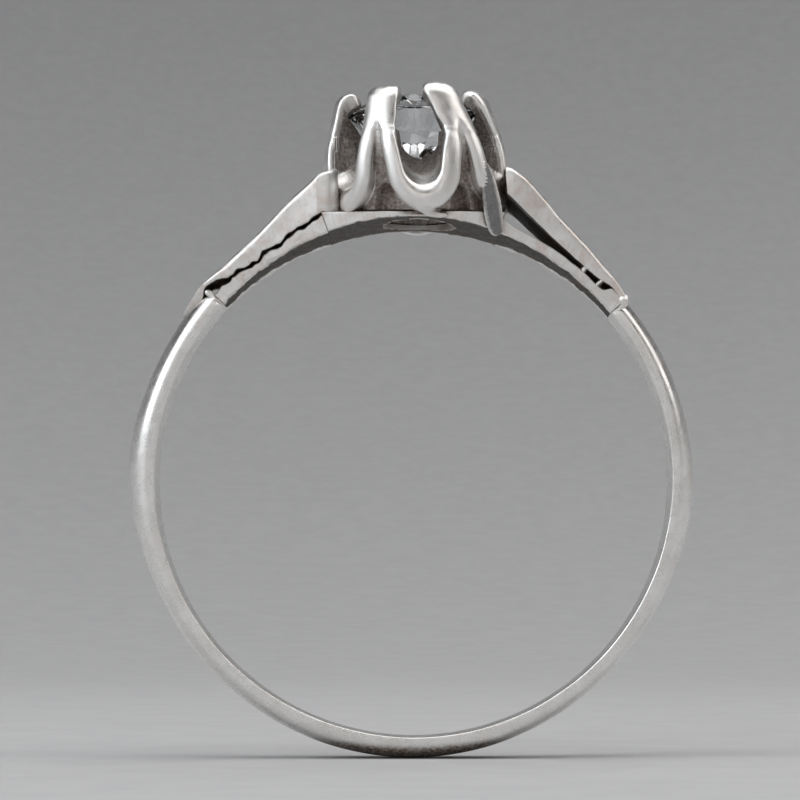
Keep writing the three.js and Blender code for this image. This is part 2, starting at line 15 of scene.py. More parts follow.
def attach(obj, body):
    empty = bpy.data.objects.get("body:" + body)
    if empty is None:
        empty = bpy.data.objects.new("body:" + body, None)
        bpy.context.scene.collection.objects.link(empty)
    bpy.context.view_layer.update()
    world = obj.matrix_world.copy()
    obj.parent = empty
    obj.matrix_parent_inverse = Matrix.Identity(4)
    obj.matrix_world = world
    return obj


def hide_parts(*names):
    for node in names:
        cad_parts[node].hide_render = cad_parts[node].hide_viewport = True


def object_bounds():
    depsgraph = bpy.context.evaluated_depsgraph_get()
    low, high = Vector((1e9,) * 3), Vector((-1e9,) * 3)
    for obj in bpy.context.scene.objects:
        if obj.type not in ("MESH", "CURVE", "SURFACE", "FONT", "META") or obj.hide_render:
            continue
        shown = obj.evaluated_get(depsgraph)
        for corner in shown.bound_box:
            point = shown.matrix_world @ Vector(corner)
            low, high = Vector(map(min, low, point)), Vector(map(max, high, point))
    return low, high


noise.seed_set(11)  # noise_vector starts from the clock unless it's given a seed

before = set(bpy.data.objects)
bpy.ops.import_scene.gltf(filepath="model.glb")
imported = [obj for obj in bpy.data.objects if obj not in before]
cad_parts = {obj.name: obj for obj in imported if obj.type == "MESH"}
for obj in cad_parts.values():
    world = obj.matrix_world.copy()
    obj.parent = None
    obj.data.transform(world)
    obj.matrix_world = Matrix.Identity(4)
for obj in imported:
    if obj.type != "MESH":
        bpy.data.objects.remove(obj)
cad_low, cad_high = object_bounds()

MM = 0.001

# ---------- driving dimensions, in millimetres and degrees ----------
FINGER_RADIUS = 8.55
BAND_HALF_WIDTH = 0.95
RIGHT_JOINT = 50.7
LEFT_JOINT = 48.0
JOINT_HALF_SEAM = 0.45

SADDLE_TOP = 8.7
SADDLE_END = 19.2
SHOULDER_HALF_WIDTH = 1.72
SADDLE_BOW = 0.33
CULET_HOLE_RADIUS = 1.2
STRAP_LEFT_X = 2.98
STRAP_RIGHT_X = 3.1
HEAD_SIDE = 3.15
SLIT_HALF = 0.05

HEAD_AXIS_X = 0.2
HEAD_LEAN = 0.05
WIRE_HALF_WIDTH = 0.3
WIRE_ROUND_DEPTH = 0.2
SILL_SLOPE = 0.7
CLAW_TAPER = 29.0
LOOP_SPRING = 10.0
CLAW_FOOT = 11.4

# tip, foot and spring azimuths, half split of the limbs below, extra height, width
CLAWS = [
    (-83.0, -84.0, -84.0, 10.0, 0.1, 0.95),
    (-24.6, -25.6, -25.4, 11.6, 0.06, 1.08),
    (21.5, 31.8, 33.2, 12.2, 0.165, 1.16),
    (67.0, 82.0, 85.0, 10.0, 0.08, 1.0),
    (147.0, 148.5, 148.5, 11.0, 0.02, 1.0),
    (211.0, 212.5, 212.5, 11.0, 0.04, 1.0),
]
LOOP_BOTTOMS = [9.03, 8.96, 9.42, 9.03, 8.9, 9.03]
# how much wider each loop's wire is than usual at its two ends: whole wire, then outside edge only
LOOP_ENDS = [(1.0, 1.0, 1.9, 1.0), (1.0, 1.25, 1.0, 1.0), (1.0, 1.0, 1.0, 1.9)]
LOOP_ENDS += [(1.0, 1.0, 1.0, 1.0)] * 3

# the head's skin: size of its cells, rounds of softening and of voting, smallest island in points
SKIN_VOXEL = 0.036
SKIN_ROUNDS = 8
OWNER_ROUNDS = 8
SMALLEST_ISLAND = 300

STONE_RADIUS = 2.25
STONE_GIRDLE = 12.15
STONE_GIRDLE_HALF = 0.035
STONE_TABLE_RATIO = 0.56
STONE_CROWN = 0.6
STONE_PAVILION = 1.78


# ---------- small maths ----------
def lerp(a, b, t):
    return a + (b - a) * t


def clamp01(t):
    return min(1.0, max(0.0, t))


def ease(t):
    t = clamp01(t)
    return t * t * (3 - 2 * t)


def through(stations):
    """A smooth value through [(position, value), ...] in rising order."""

    def value(x):
        if x <= stations[0][0]:
            return stations[0][1]
        for i in range(1, len(stations)):
            x1, v1 = stations[i]
            if x > x1:
                continue
            x0, v0 = stations[i - 1]
            before = stations[max(0, i - 2)]
            after = stations[min(len(stations) - 1, i + 1)]
            m0 = (v1 - before[1]) / (x1 - before[0])
            m1 = (after[1] - v0) / (after[0] - x0)
            h = x1 - x0
            t = (x - x0) / h
            t2 = t * t
            t3 = t2 * t
            return (
                (2 * t3 - 3 * t2 + 1) * v0
                + (t3 - 2 * t2 + t) * h * m0
                + (3 * t2 - 2 * t3) * v1
                + (t3 - t2) * h * m1
            )
        return stations[-1][1]

    return value


def columns_through(rows):
    """A smooth value of every column of a table, at a place that counts its rows."""
    lines = [through(list(enumerate(column))) for column in zip(*rows)]
    return lambda t: [line(t) for line in lines]


def turns(sides):
    return [2 * pi * j / sides for j in range(sides)]


def band_point(radius, angle, y):
    a = radians(angle)
    return (radius * sin(a), y, radius * cos(a))


def head_point(radius, azimuth, z):
    """A point of the leaning head: azimuth 0 faces -Y and grows towards +X."""
    a = radians(azimuth)
    x = radius * sin(a) + HEAD_AXIS_X - HEAD_LEAN * (z - SADDLE_TOP)
    return (x, -radius * cos(a), z)


head_outer = through(
    [(8.4, 3.08), (9.3, 3.13), (10.0, 3.15), (10.62, 3.12)]
    + [(11.02, 3.06), (11.43, 2.97), (11.83, 2.87), (12.24, 2.76)]
)

# how far the wall behind the wires stands back from their outer faces
wall_recess = through([(9.4, 0.55), (10.0, 0.48), (10.6, 0.34), (11.1, 0.2), (11.5, 0.1)])

# the hole through the head that the stone's point hangs in
head_inner = through(
    [(8.7, 1.25), (10.3, 1.28), (10.9, 1.45), (11.4, 1.72), (11.8, 1.98), (12.05, 2.2)]
)


# ---------- mesh building ----------
def link_object(made):
    bpy.context.scene.collection.objects.link(made)
    return made


def grid_faces(rows, columns, closed_rows=False):
    """Quads between rows of points; each row closes on itself."""
    i = np.arange(rows if closed_rows else rows - 1)
    j = np.arange(columns)
    a = (i[:, None] * columns + j[None, :]).ravel()
    b = (i[:, None] * columns + (j[None, :] + 1) % columns).ravel()
    shift = ((i + 1) % rows)[:, None] * columns
    c = (shift + (j[None, :] + 1) % columns).ravel()
    d = (shift + j[None, :]).ravel()
    return np.stack([a, b, c, d], axis=1).tolist()


def evaluated(made):
    """A new mesh of an object as its modifiers leave it."""
    bpy.context.view_layer.update()
    return bpy.data.meshes.new_from_object(made.evaluated_get(bpy.context.evaluated_depsgraph_get()))


def signed_volume(points, faces):
    total = 0.0
    for face in faces:
        p0 = points[face[0]]
        for k in range(1, len(face) - 1):
            total += float(np.dot(p0, np.cross(points[face[k]], points[face[k + 1]])))
    return total


def read(items, key, width=3, kind=float):
    """One property of all the items, a row each."""
    values = np.empty(len(items) * width, kind)
    items.foreach_get(key, values)
    return values.reshape(-1, width)


def outward(points, faces):
    """The faces of a closed shape, turned round if they look inwards."""
    return faces if signed_volume(points, faces) >= 0 else [face[::-1] for face in faces]


def make_mesh(name, points, faces, smooth=True, marks=None):
    """A mesh object from points in millimetres; marks are per-point values for the materials."""
    mesh = bpy.data.meshes.new(name)
    mesh.from_pydata((np.asarray(points, float) * MM).tolist(), [], faces)
    mesh.polygons.foreach_set("use_smooth", [smooth] * len(mesh.polygons))
    for key, values in (marks or {}).items():
        values = np.asarray(values, np.float32)
        kind = "FLOAT_VECTOR" if values.ndim == 2 else "FLOAT"
        attribute = mesh.attributes.new(key, kind, "POINT")
        attribute.data.foreach_set("vector" if values.ndim == 2 else "value", values.ravel())
    mesh.update()
    return link_object(bpy.data.objects.new(name, mesh))


def loft_shape(rings, flows=None, insides=None):
    """A closed solid through rings with the same number of points, capped at both ends.

    flows hold each point's place along and across the piece, which the scratches follow;
    insides are 1 where the metal is left without polish and painted dark: painted shade and painted
    dark reflection.
    """
    rings = [np.asarray(r, float) for r in rings]
    count = len(rings[0])
    flows = [np.asarray(f, float) for f in flows] if flows else [r.copy() for r in rings]
    insides = insides if insides is not None else [np.zeros(count) for _ in rings]
    insides = [np.asarray(v, float) for v in insides]
    for at in (0, -1):
        edge = rings[at]
        middle = edge.mean(axis=0)
        for shrink in (0.93, 0.5):
            place = 0 if at == 0 else len(rings)
            rings.insert(place, middle + (edge - middle) * shrink)
            flows.insert(place, flows[at])
            insides.insert(place, insides[at])
    for rows in (rings, flows, insides):
        rows += [rows[0].mean(axis=0, keepdims=True), rows[-1].mean(axis=0, keepdims=True)]
    points, flow, inside = [np.concatenate(rows) for rows in (rings, flows, insides)]
    faces = grid_faces(len(rings) - 2, count)
    first = len(points) - 2
    last = first + 1
    base = first - count
    for j in range(count):
        k = (j + 1) % count
        faces.append([first, k, j])
        faces.append([last, base + j, base + k])
    return points, faces, {"flow": flow, "inside": inside}


def loft(name, rings, flows=None, insides=None):
    points, faces, marks = loft_shape(rings, flows, insides)
    return make_mesh(name, points, outward(points, faces), marks=marks)


def wander(points, size, scale, seed=0.0):
    """Moves points a little, as hand filing does. size and scale are millimetres."""
    out = np.array(points, float)
    for i, p in enumerate(out):
        v = noise.noise_vector(Vector(p) / scale + Vector((seed, seed * 0.7, -seed)))
        out[i] = p + size * np.array(v)
    return out


# ---------- materials ----------
AO_SAMPLES = 8


class Nodes:
    """Short calls for building one material's node tree."""

    def __init__(self, name):
        self.material = bpy.data.materials.new(name)
        self.material.use_nodes = True
        self.tree = self.material.node_tree
        self.tree.nodes.clear()
        self.shader = self.new("BsdfPrincipled")
        self.new("OutputMaterial", Surface=self.shader.outputs["BSDF"])

    def put(self, node, **values):
        """Sets or links inputs of a node, which are named with _ for a space."""
        for key, value in values.items():
            socket = node.inputs[key.replace("_", " ")]
            if isinstance(value, bpy.types.NodeSocket):
                self.tree.links.new(value, socket)
            else:
                socket.default_value = value
        return node

    def new(self, kind, **values):
        return self.put(self.tree.nodes.new("ShaderNode" + kind), **values)

    def attribute(self, name):
        node = self.new("Attribute")
        node.attribute_name = name
        return node

    def place(self):
        """Object coordinates, counted in millimetres."""
        return self.scaled(self.new("TexCoord").outputs["Object"], (1 / MM, 1 / MM, 1 / MM))

    def scaled(self, vector, scale):
        return self.new("Mapping", Vector=vector, Scale=scale).outputs["Vector"]

    def noise(self, vector, scale, detail=2.0, roughness=0.5, distortion=0.0):
        node = self.new("TexNoise", Vector=vector, Scale=scale, Detail=detail, Roughness=roughness)
        return self.put(node, Distortion=distortion).outputs["Fac"]

    def spread(self, value, low, high, to_low, to_high):
        node = self.new("MapRange", Value=value, From_Min=low, From_Max=high)
        node.interpolation_type = "SMOOTHSTEP"
        return self.put(node, To_Min=to_low, To_Max=to_high).outputs["Result"]

    def maths(self, kind, a, b):
        node = self.new("Math")
        node.operation = kind
        node.use_clamp = kind == "ADD"
        self.tree.links.new(a, node.inputs[0])
        if isinstance(b, float):
            node.inputs[1].default_value = b
        else:
            self.tree.links.new(b, node.inputs[1])
        return node.outputs[0]

    def mix(self, factor, a, b):
        node = self.new("Mix")
        node.data_type = "RGBA"
        a, b = [(*value, 1.0) if isinstance(value, tuple) else value for value in (a, b)]
        return self.put(node, Factor=factor, A=a, B=b).outputs["Result"]

    def occlusion_shade(self, distance, low, high):
        """1 deep in a recess and 0 in the open, from ambient occlusion: the mask that lays painted
        shade.
        """
        node = self.new("AmbientOcclusion", Distance=distance * MM)
        node.samples = AO_SAMPLES
        return self.spread(node.outputs["AO"], low, high, 1.0, 0.0)

    def bump(self, height, strength, distance, below=None):
        node = self.new("Bump", Height=height, Strength=strength, Distance=distance * MM)
        if below is not None:
            self.put(node, Normal=below)
        return node.outputs["Normal"]


def metal(name, bare, evenness, crust, smooth, rough, grain, waviness, shade_reach, wear):
    """White gold: satin polish, scratches that follow the piece, and painted shade: a tarnish colour
    laid into the recesses by ambient occlusion.

    The colour given after the name is painted where the inside mark is set: painted shade and painted
    dark reflection, on metal left without polish there; evenness is how solid that colour is;
    crust is how metallic they still look; wear is how much the polish is broken by file marks,
    pink stains and pits.
    """
    n = Nodes(name)
    n.put(n.shader, Specular_IOR_Level=0.12)
    place = n.place()
    flow = n.attribute("flow").outputs["Vector"]
    inside = n.attribute("inside").outputs["Fac"]

    patches = n.noise(place, 0.9, 3.0, 0.6)
    speckle = n.noise(place, 9.0, 4.0, 0.65)
    scratches = n.noise(n.scaled(flow, grain), 1.0, 3.0, 0.62)

    # painted shade: the deeper the recess, the more of the dark tarnish colour, as shade falls there
    recess = n.occlusion_shade(shade_reach, 0.3, 0.92)
    uneven = n.spread(speckle, 0.3, 0.7, 0.55, 1.15)
    shade_and_tarnish = n.maths("MULTIPLY", recess, uneven)
    unpolished_and_shaded = n.maths("MULTIPLY", inside, n.spread(speckle, 0.3, 0.75, evenness, 1.0))
    colour = n.mix(n.spread(patches, 0.3, 0.72, 0.0, 1.0), BRIGHT, DULL)
    stains = n.noise(place, 1.6, 4.0, 0.7, 0.6)
    colour = n.mix(n.spread(stains, 0.42, 0.75, 0.0, wear), colour, STAIN)
    colour = n.mix(n.spread(scratches, 0.5, 0.8, 0.0, 0.6 * wear), colour, FILED)
    pits = n.noise(place, 13.0, 2.0, 0.5)
    colour = n.mix(n.spread(pits, 0.68, 0.8, 0.0, wear), colour, TARNISH_AND_SHADE)
    # painted shade and painted dark reflection where the inside mark is set
    colour = n.mix(unpolished_and_shaded, colour, bare)
    # painted shade: the tarnish colour laid by the occlusion mask
    colour = n.mix(shade_and_tarnish, colour, TARNISH_AND_SHADE)
    n.put(n.shader, Base_Color=colour)
    n.put(n.shader, Metallic=n.spread(unpolished_and_shaded, 0.0, 1.0, 1.0, crust))

    polish = n.spread(n.noise(place, 2.2, 3.0, 0.6), 0.3, 0.7, smooth, rough)
    wear_and_shade = n.maths("ADD", polish, n.maths("MULTIPLY", n.maths("SUBTRACT", scratches, 0.5), 0.28))
    wear_and_shade = n.maths("ADD", wear_and_shade, n.maths("MULTIPLY", inside, 0.22))
    wear_and_shade = n.maths("ADD", wear_and_shade, n.maths("MULTIPLY", shade_and_tarnish, 0.15))
    n.put(n.shader, Roughness=wear_and_shade)

    filed = n.bump(n.noise(place, 1.7, 2.0, 0.5), 1.0, waviness)
    pitted = n.bump(n.maths("MULTIPLY", speckle, inside), 1.0, 0.05, filed)
    hammered = n.bump(stains, 1.0, 0.012 * wear, pitted)
    normal = n.bump(scratches, 1.0, 0.002 + 0.004 * wear, hammered)
    n.put(n.shader, Normal=normal)
    return n.material


def solder_metal():
    """Rough white solder: lumpy, greyer than the gold, pitted, with painted shade in its recesses."""
    n = Nodes("solder")
    n.put(n.shader, Metallic=1.0)
    place = n.place()
    lumps = n.noise(place, 5.0, 4.0, 0.6, 0.4)
    pits = n.noise(place, 18.0, 3.0, 0.6)
    # painted shade: dark brown laid into the recesses by ambient occlusion
    recess = n.occlusion_shade(0.8, 0.25, 0.75)
    colour = n.mix(n.spread(lumps, 0.35, 0.7, 0.0, 1.0), (0.95, 0.94, 0.92), (0.78, 0.76, 0.72))
    colour = n.mix(recess, colour, (0.22, 0.17, 0.13))
    n.put(n.shader, Base_Color=colour)
    n.put(n.shader, Roughness=n.spread(pits, 0.3, 0.7, 0.22, 0.45))
    lumpy = n.bump(lumps, 1.0, 0.05)
    n.put(n.shader, Normal=n.bump(pits, 1.0, 0.012, lumpy))
    return n.material


def diamond_glass():
    """Clear diamond, with a faint film on it from handling."""
    n = Nodes("diamond")
    n.put(n.shader, Base_Color=(0.96, 0.985, 1.0, 1.0))
    n.put(n.shader, IOR=2.417)
    n.put(n.shader, Transmission_Weight=1.0)
    film = n.noise(n.place(), 1.6, 3.0, 0.6)
    n.put(n.shader, Roughness=n.spread(film, 0.45, 0.8, 0.0, 0.035))
    return n.material


BRIGHT = (0.93, 0.925, 0.91)
DULL = (0.83, 0.815, 0.79)
# dark brown, for tarnished pits and for the painted shade in the recesses
TARNISH_AND_SHADE = (0.15, 0.105, 0.075)
STAIN = (0.72, 0.6, 0.54)
FILED = (0.6, 0.56, 0.52)
# dark colours painted where the inside mark is set: painted shade and painted dark reflection on
# metal left without polish
SHADED_BARE_WALL = (0.17, 0.13, 0.11)
SHADED_BARE_INSIDE = (0.045, 0.037, 0.03)
SHADED_BARE_STRIP = (0.085, 0.085, 0.088)
band_metal = metal(
    "white_gold_band", SHADED_BARE_INSIDE, 0.9, 0.3, 0.24, 0.36, (0.7, 20.0, 20.0), 0.008, 0.8, 0.25
)
shoulder_metal = metal(
    "white_gold_shoulder", SHADED_BARE_INSIDE, 0.9, 0.15, 0.34, 0.48, (9.0, 0.9, 3.0), 0.02, 0.6, 0.8
)
head_metal = metal(
    "white_gold_head", SHADED_BARE_WALL, 0.6, 0.6, 0.3, 0.42, (1.0, 16.0, 16.0), 0.006, 0.5, 0.2
)
strip_metal = metal(
    "white_gold_strip", SHADED_BARE_STRIP, 0.9, 0.9, 0.3, 0.42, (1.0, 16.0, 16.0), 0.012, 0.2, 0.1
)
solder = solder_metal()
stone_glass = diamond_glass()


def keep_in_box(piece):
    """Moves points that stand outside the box of the solids back onto its sides."""
    vertices = piece.data.vertices
    points = np.clip(read(vertices, "co"), np.array(cad_low), np.array(cad_high))
    vertices.foreach_set("co", points.ravel())
    piece.data.update()


def finish_piece(piece, nodes, material):
    keep_in_box(piece)
    piece.data.materials.clear()
    piece.data.materials.append(material)
    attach(piece, "root")
    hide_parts(*nodes)
    return piece


# ---------- shank ----------
shank_thickness = through(
    [(50, 0.72), (62, 0.75), (78, 0.76), (95, 0.79), (112, 0.66), (128, 0.6), (180, 0.7)]
    + [(235, 0.7), (250, 0.74), (263, 0.88), (275, 0.96), (288, 0.87), (300, 0.82), (312, 0.84)]
)


def shank_outline(thickness, half, scale):
    """D section as (height above the finger hole, place along Y)."""
    soft = 0.07
    flat = 0.22 * scale
    outline = []
    inner_steps = 10
    for i in range(inner_steps + 1):
        outline.append((0.0, lerp(-half + soft, half - soft, i / inner_steps)))
    for i in range(1, 5):
        a = radians(90 * i / 4)
        outline.append((soft - soft * cos(a), half - soft + soft * sin(a)))
    crest_steps = 44
    for i in range(crest_steps + 1):
        a = pi * i / crest_steps
        outline.append((flat + (thickness - flat) * sin(a), half * cos(a)))
    for i in range(4, 0, -1):
        a = radians(90 * i / 4)
        outline.append((soft - soft * cos(a), -half + soft - soft * sin(a)))
    return outline


def make_shank():
    start = RIGHT_JOINT + 0.02
    end = 360 - LEFT_JOINT - 0.02
    dome = 1.5
    fall = 0.09
    angles = []
    for i in range(10):
        angles.append(start + dome * (1 - cos(radians(90 * i / 10))))
    steps = 420
    for i in range(steps + 1):
        angles.append(lerp(start + dome, end - dome, i / steps))
    for i in range(1, 11):
        angles.append(end - dome * (1 - sin(radians(90 * i / 10))))
    rings = []
    flows = []
    for angle in angles:
        from_end = min(angle - start, end - angle)
        scale = 1 - fall * (1 - sqrt(1 - (1 - clamp01(from_end / dome)) ** 2))
        thickness = shank_thickness(angle) * scale
        half = BAND_HALF_WIDTH * lerp(0.96, 1, (scale - 1 + fall) / fall)
        outline = shank_outline(thickness, half, scale)
        rings.append([band_point(FINGER_RADIUS + u, angle, w) for u, w in outline])
        flows.append([(radians(angle) * 9, u, w) for u, w in outline])
    rings = [wander(r, 0.006, 1.3, 3.0) for r in rings]
    return loft("shank_band", rings, flows)


finish_piece(make_shank(), ["shank"], band_metal)


# ---------- shoulders ----------
def shoulder_half_width(angle):
    t = clamp01((49 - angle) / 30)
    return lerp(BAND_HALF_WIDTH, SHOULDER_HALF_WIDTH, t**1.3)


left_slit = through([(19, 9.17), (24, 9.04), (30, 8.88), (36, 8.85), (42, 8.97), (48, 9.2)])
left_crest = through(
    [(13, 11.05), (17.5, 10.5), (24, 10.04), (31.7, 9.63), (36, 9.52), (42, 9.46), (48, 9.5)]
)
right_rail_top = through(
    [(19, 9.06), (22, 8.9), (26, 8.86), (31, 8.85)]
    + [(40, 8.84), (45.4, 8.85), (46.7, 9.1), (51, 9.08)]
)
right_strap_underside = through(
    [(13, 10.15), (20.4, 9.68), (24.3, 9.42), (31, 9.12)]
    + [(39, 8.99), (43, 9.01), (46.5, 9.11), (51, 9.0)]
)
right_crest = through(
    [(13, 11.1), (17.9, 10.72), (21, 10.56), (25.5, 10.2)]
    + [(30, 9.88), (40, 9.53), (47.6, 9.36), (51, 9.24)]
)


def bar_outline(thick, half, soft_in, soft_out):
    """Rounded box as (height, place along Y): inner face, +Y side, outer face, -Y side."""
    face_steps = 14
    side_steps = 9
    arc_steps = 5
    outline = []

    def arc(cu, cw, radius, from_deg, to_deg):
        for i in range(1, arc_steps):
            a = radians(lerp(from_deg, to_deg, i / arc_steps))
            outline.append((cu + radius * sin(a), cw + radius * cos(a)))

    for i in range(face_steps + 1):
        outline.append((0.0, lerp(-half + soft_in, half - soft_in, i / face_steps)))
    arc(soft_in, half - soft_in, soft_in, -90, 0)
    for i in range(side_steps + 1):
        outline.append((lerp(soft_in, thick - soft_out, i / side_steps), half))
    arc(thick - soft_out, half - soft_out, soft_out, 0, 90)
    for i in range(face_steps + 1):
        outline.append((thick, lerp(half - soft_out, -half + soft_out, i / face_steps)))
    arc(thick - soft_out, -half + soft_out, soft_out, 90, 180)
    for i in range(side_steps + 1):
        outline.append((lerp(thick - soft_out, soft_in, i / side_steps), -half))
    arc(soft_in, -half + soft_in, soft_in, 180, 270)
    return outline


def angle_at_x(radius_at, x, low=8.0, high=30.0):
    """The angle where a curve of the shoulder passes a given distance from the middle."""
    for _ in range(40):
        middle = (low + high) / 2
        if radius_at(middle) * sin(radians(middle)) < x:
            low = middle
        else:
            high = middle
    return (low + high) / 2


def bar_ring(
    side, inner, outer, half, soft_in, soft_out, rough_in=0.0, rough_out=0.0, rough_shaded_faces=(0, 0), lip=0.36
):
    """One ring of a bar. inner and outer are (radius, angle) of its two faces.

    The pair before lip says how far the inner and the outer face are left without polish and painted
    dark, as painted shade and painted dark reflection; lip is how much of the inner face next to its
    edges was polished with the sides.
    """
    foot = np.array(band_point(inner[0], side * inner[1], 0.0))
    crest = np.array(band_point(outer[0], side * outer[1], 0.0))
    thick = float(np.linalg.norm(crest - foot))
    up = (crest - foot) / thick
    soft_in = min(soft_in, thick * 0.4)
    soft_out = min(soft_out, thick * 0.45)
    ring = []
    flow = []
    inside = []
    along = radians(inner[1]) * 9
    for u, w in bar_outline(thick, half, soft_in, soft_out):
        v = noise.noise(Vector((along * 2.6, w * 2.0, side * 7.0))) + 0.5 * noise.noise(
            Vector((along * 7.0, w * 3.0, side * 3.0))
        )
        near_in = 1 - ease(u / min(0.16, thick * 0.5))
        near_out = ease((u - thick + min(0.16, thick * 0.5)) / min(0.16, thick * 0.5))
        u2 = u + v * (rough_in * near_in + rough_out * near_out)
        p = foot + up * u2
        ring.append((p[0], w, p[2]))
        flow.append((along, u, w))
        ragged = 0.12 * noise.noise(Vector((along * 4.0, w * 2.0, 4.0)))
        from_edge = half - abs(w) + ragged - lip
        # painted dark reflection on the inner face, left bright in a ragged lip at its edges; painted
        # shade on the outer face
        rough_shade_in = rough_shaded_faces[0] * (1 - ease(u / 0.05)) * ease(from_edge / 0.1)
        rough_shade_out = rough_shaded_faces[1] * ease((u - thick + 0.05) / 0.05)
        inside.append(max(rough_shade_in, rough_shade_out))
    return ring, flow, inside


def make_bar(name, side, ends, inner_at, outer_at, steps, soft, rough, rough_shaded_faces, extra=()):
    """ends are the angles of the inner and outer faces at the head, and the angle at the joint."""
    inner_start, outer_start, joint = ends
    rows = []
    for i in range(steps + 1):
        t = i / steps
        ai = lerp(inner_start, joint, t)
        ao = lerp(outer_start, joint, t)
        corner = 0.12 * (1 - clamp01(t / 0.06)) ** 2 if inner_start != outer_start else 0.0
        half = shoulder_half_width((ai + ao) / 2)
        ring, flow, inside = bar_ring(
            side, (inner_at(ai), ai), (outer_at(ao) - corner, ao), half, *soft, *rough, rough_shaded_faces
        )
        rows.append((wander(ring, 0.012, 0.8, side * 5.0), flow, inside))
    for inner, outer, half, angle in extra:
        ring, flow, inside = bar_ring(side, (inner, angle), (outer, angle), half, 0.03, 0.08)
        rows.append((wander(ring, 0.008, 0.5, side * 5.0), flow, inside))
    if side < 0 and inner_start != outer_start:
        rows.insert(0, (reach_head(rows[0][0], rows[3][0]), *rows[0][1:]))
    return loft(name, *zip(*rows))


def reach_head(ring, further):
    """The ring carried on to the head's round side, its top in line with the ring further out."""
    moved = []
    low = min(p[2] for p in ring)
    high = max(p[2] for p in ring)
    for p, q in zip(ring, further):
        axis = HEAD_AXIS_X - HEAD_LEAN * (p[2] - SADDLE_TOP)
        side = axis - sqrt(HEAD_SIDE**2 - p[1] ** 2)
        t = max(0.0, (side - p[0]) / (p[0] - q[0]))
        dx = t * (p[0] - q[0])
        share = (p[2] - low) / (high - low)
        dz = lerp(-0.45 * dx, t * (p[2] - q[2]), share)
        moved.append(np.array((p[0] + dx, p[1], p[2] + dz)))
    return moved


def tongue_rings():
    """The thin pointed tongue that the left strap laps over the shank."""
    inner = through([(48.2, 9.34), (49.6, 9.2), (52.0, 9.12), (55.0, 9.2)])
    outer = through([(48.3, 9.54), (49.6, 9.53), (51.5, 9.52), (53.5, 9.5), (55.0, 9.47)])
    half = through([(48.3, 0.82), (49.6, 0.72), (51.5, 0.54), (53.5, 0.32), (55.0, 0.1)])
    angles = [lerp(48.2, 54.8, i / 22) for i in range(23)]
    return [(inner(a), outer(a), half(a), a) for a in angles]


left_end = LEFT_JOINT - JOINT_HALF_SEAM - 0.05
right_end = RIGHT_JOINT - JOINT_HALF_SEAM - 0.05
rail_start = SADDLE_END + 0.02


def left_gap(angle):
    """Half the gap between the left strap and rail, which opens into a hollow at the joint."""
    return SLIT_HALF + 0.015 * sin(angle * 1.9) + 0.13 * ease((angle - 41.5) / 5.5)


def left_rail_outer(angle):
    return left_slit(angle) - left_gap(angle)


def left_strap_inner(angle):
    return left_slit(angle) + left_gap(angle)


def finger_face(angle):
    return FINGER_RADIUS


left_strap_start = [angle_at_x(line, STRAP_LEFT_X) for line in (left_strap_inner, left_crest)]
right_strap_start = [angle_at_x(line, STRAP_RIGHT_X) for line in (right_strap_underside, right_crest)]
# side, ends, inner and outer face, steps, rounding, roughness, and how far the two faces are left
# without polish and painted dark as shade, tongue
# The straps' faces over the slit and the rails' faces below it are painted dark as shade in the slit;
# the faces toward the finger hole are painted dark as the dark reflection from below.
SHOULDER_BARS = {
    "lower_rail_left": (
        -1, (rail_start, rail_start, left_end), finger_face, left_rail_outer,
        150, (0.04, 0.05), (0.05, 0.09), (1, 1),
    ),
    "lower_rail_right": (
        1, (rail_start, rail_start, right_end), finger_face, right_rail_top,
        150, (0.04, 0.04), (0.04, 0.015), (1, 0.7),
    ),
    "upper_strap_left": (
        -1, (*left_strap_start, left_end), left_strap_inner, left_crest,
        170, (0.06, 0.2), (0.09, 0.008), (1, 0), tongue_rings(),
    ),
    "upper_strap_right": (
        1, (*right_strap_start, right_end), right_strap_underside, right_crest,
        170, (0.05, 0.2), (0.015, 0.008), (1, 0),
    ),
}
for node, shape in SHOULDER_BARS.items():
    finish_piece(make_bar(f"{node}_bar", *shape), [node], shoulder_metal)


# ---------- saddle ----------
def make_saddle():
    rows = []
    steps = 90
    for i in range(steps + 1):
        angle = lerp(-SADDLE_END, SADDLE_END, i / steps)
        outer = SADDLE_TOP / cos(radians(angle))
        bow = SADDLE_BOW * (1 - (angle / SADDLE_END) ** 2)
        ends = (FINGER_RADIUS, angle), (outer, angle)
        # the inner face is painted near black: painted dark reflection of the dark ground below
        ring, flow, inside = bar_ring(
            1, *ends, SHOULDER_HALF_WIDTH, 0.03, 0.025, rough_in=0.02, rough_shaded_faces=(1, 0), lip=0.02
        )
        ring = [(x, y - bow * ease(-y / SHOULDER_HALF_WIDTH), z) for x, y, z in ring]
        rows.append((wander(ring, 0.008, 0.9, 2.0), flow, inside))
    plate = loft("saddle_plate_cut", *zip(*rows))
    sides = 96
    points = [
        (HEAD_AXIS_X + CULET_HOLE_RADIUS * cos(a), CULET_HOLE_RADIUS * sin(a), SADDLE_TOP + dz)
        for dz in (-0.6, 0.6)
        for a in turns(sides)
    ]
    faces = grid_faces(2, sides)
    faces += [list(range(sides - 1, -1, -1)), list(range(sides, 2 * sides))]
    cutter = make_mesh("culet_hole_cutter", points, outward(np.array(points), faces), smooth=False)
    cut = plate.modifiers.new("culet_hole", "BOOLEAN")
    cut.operation = "DIFFERENCE"
    cut.solver = "EXACT"
    cut.object = cutter
    result = evaluated(plate)
    plate.modifiers.clear()
    plate.data = result
    bpy.data.objects.remove(cutter)
    return plate


finish_piece(make_saddle(), ["saddle_plate"], shoulder_metal)


# ---------- head ----------
FOOT_SPLIT = degrees((WIRE_HALF_WIDTH + 0.01) / (head_outer(CLAW_FOOT) - WIRE_ROUND_DEPTH))


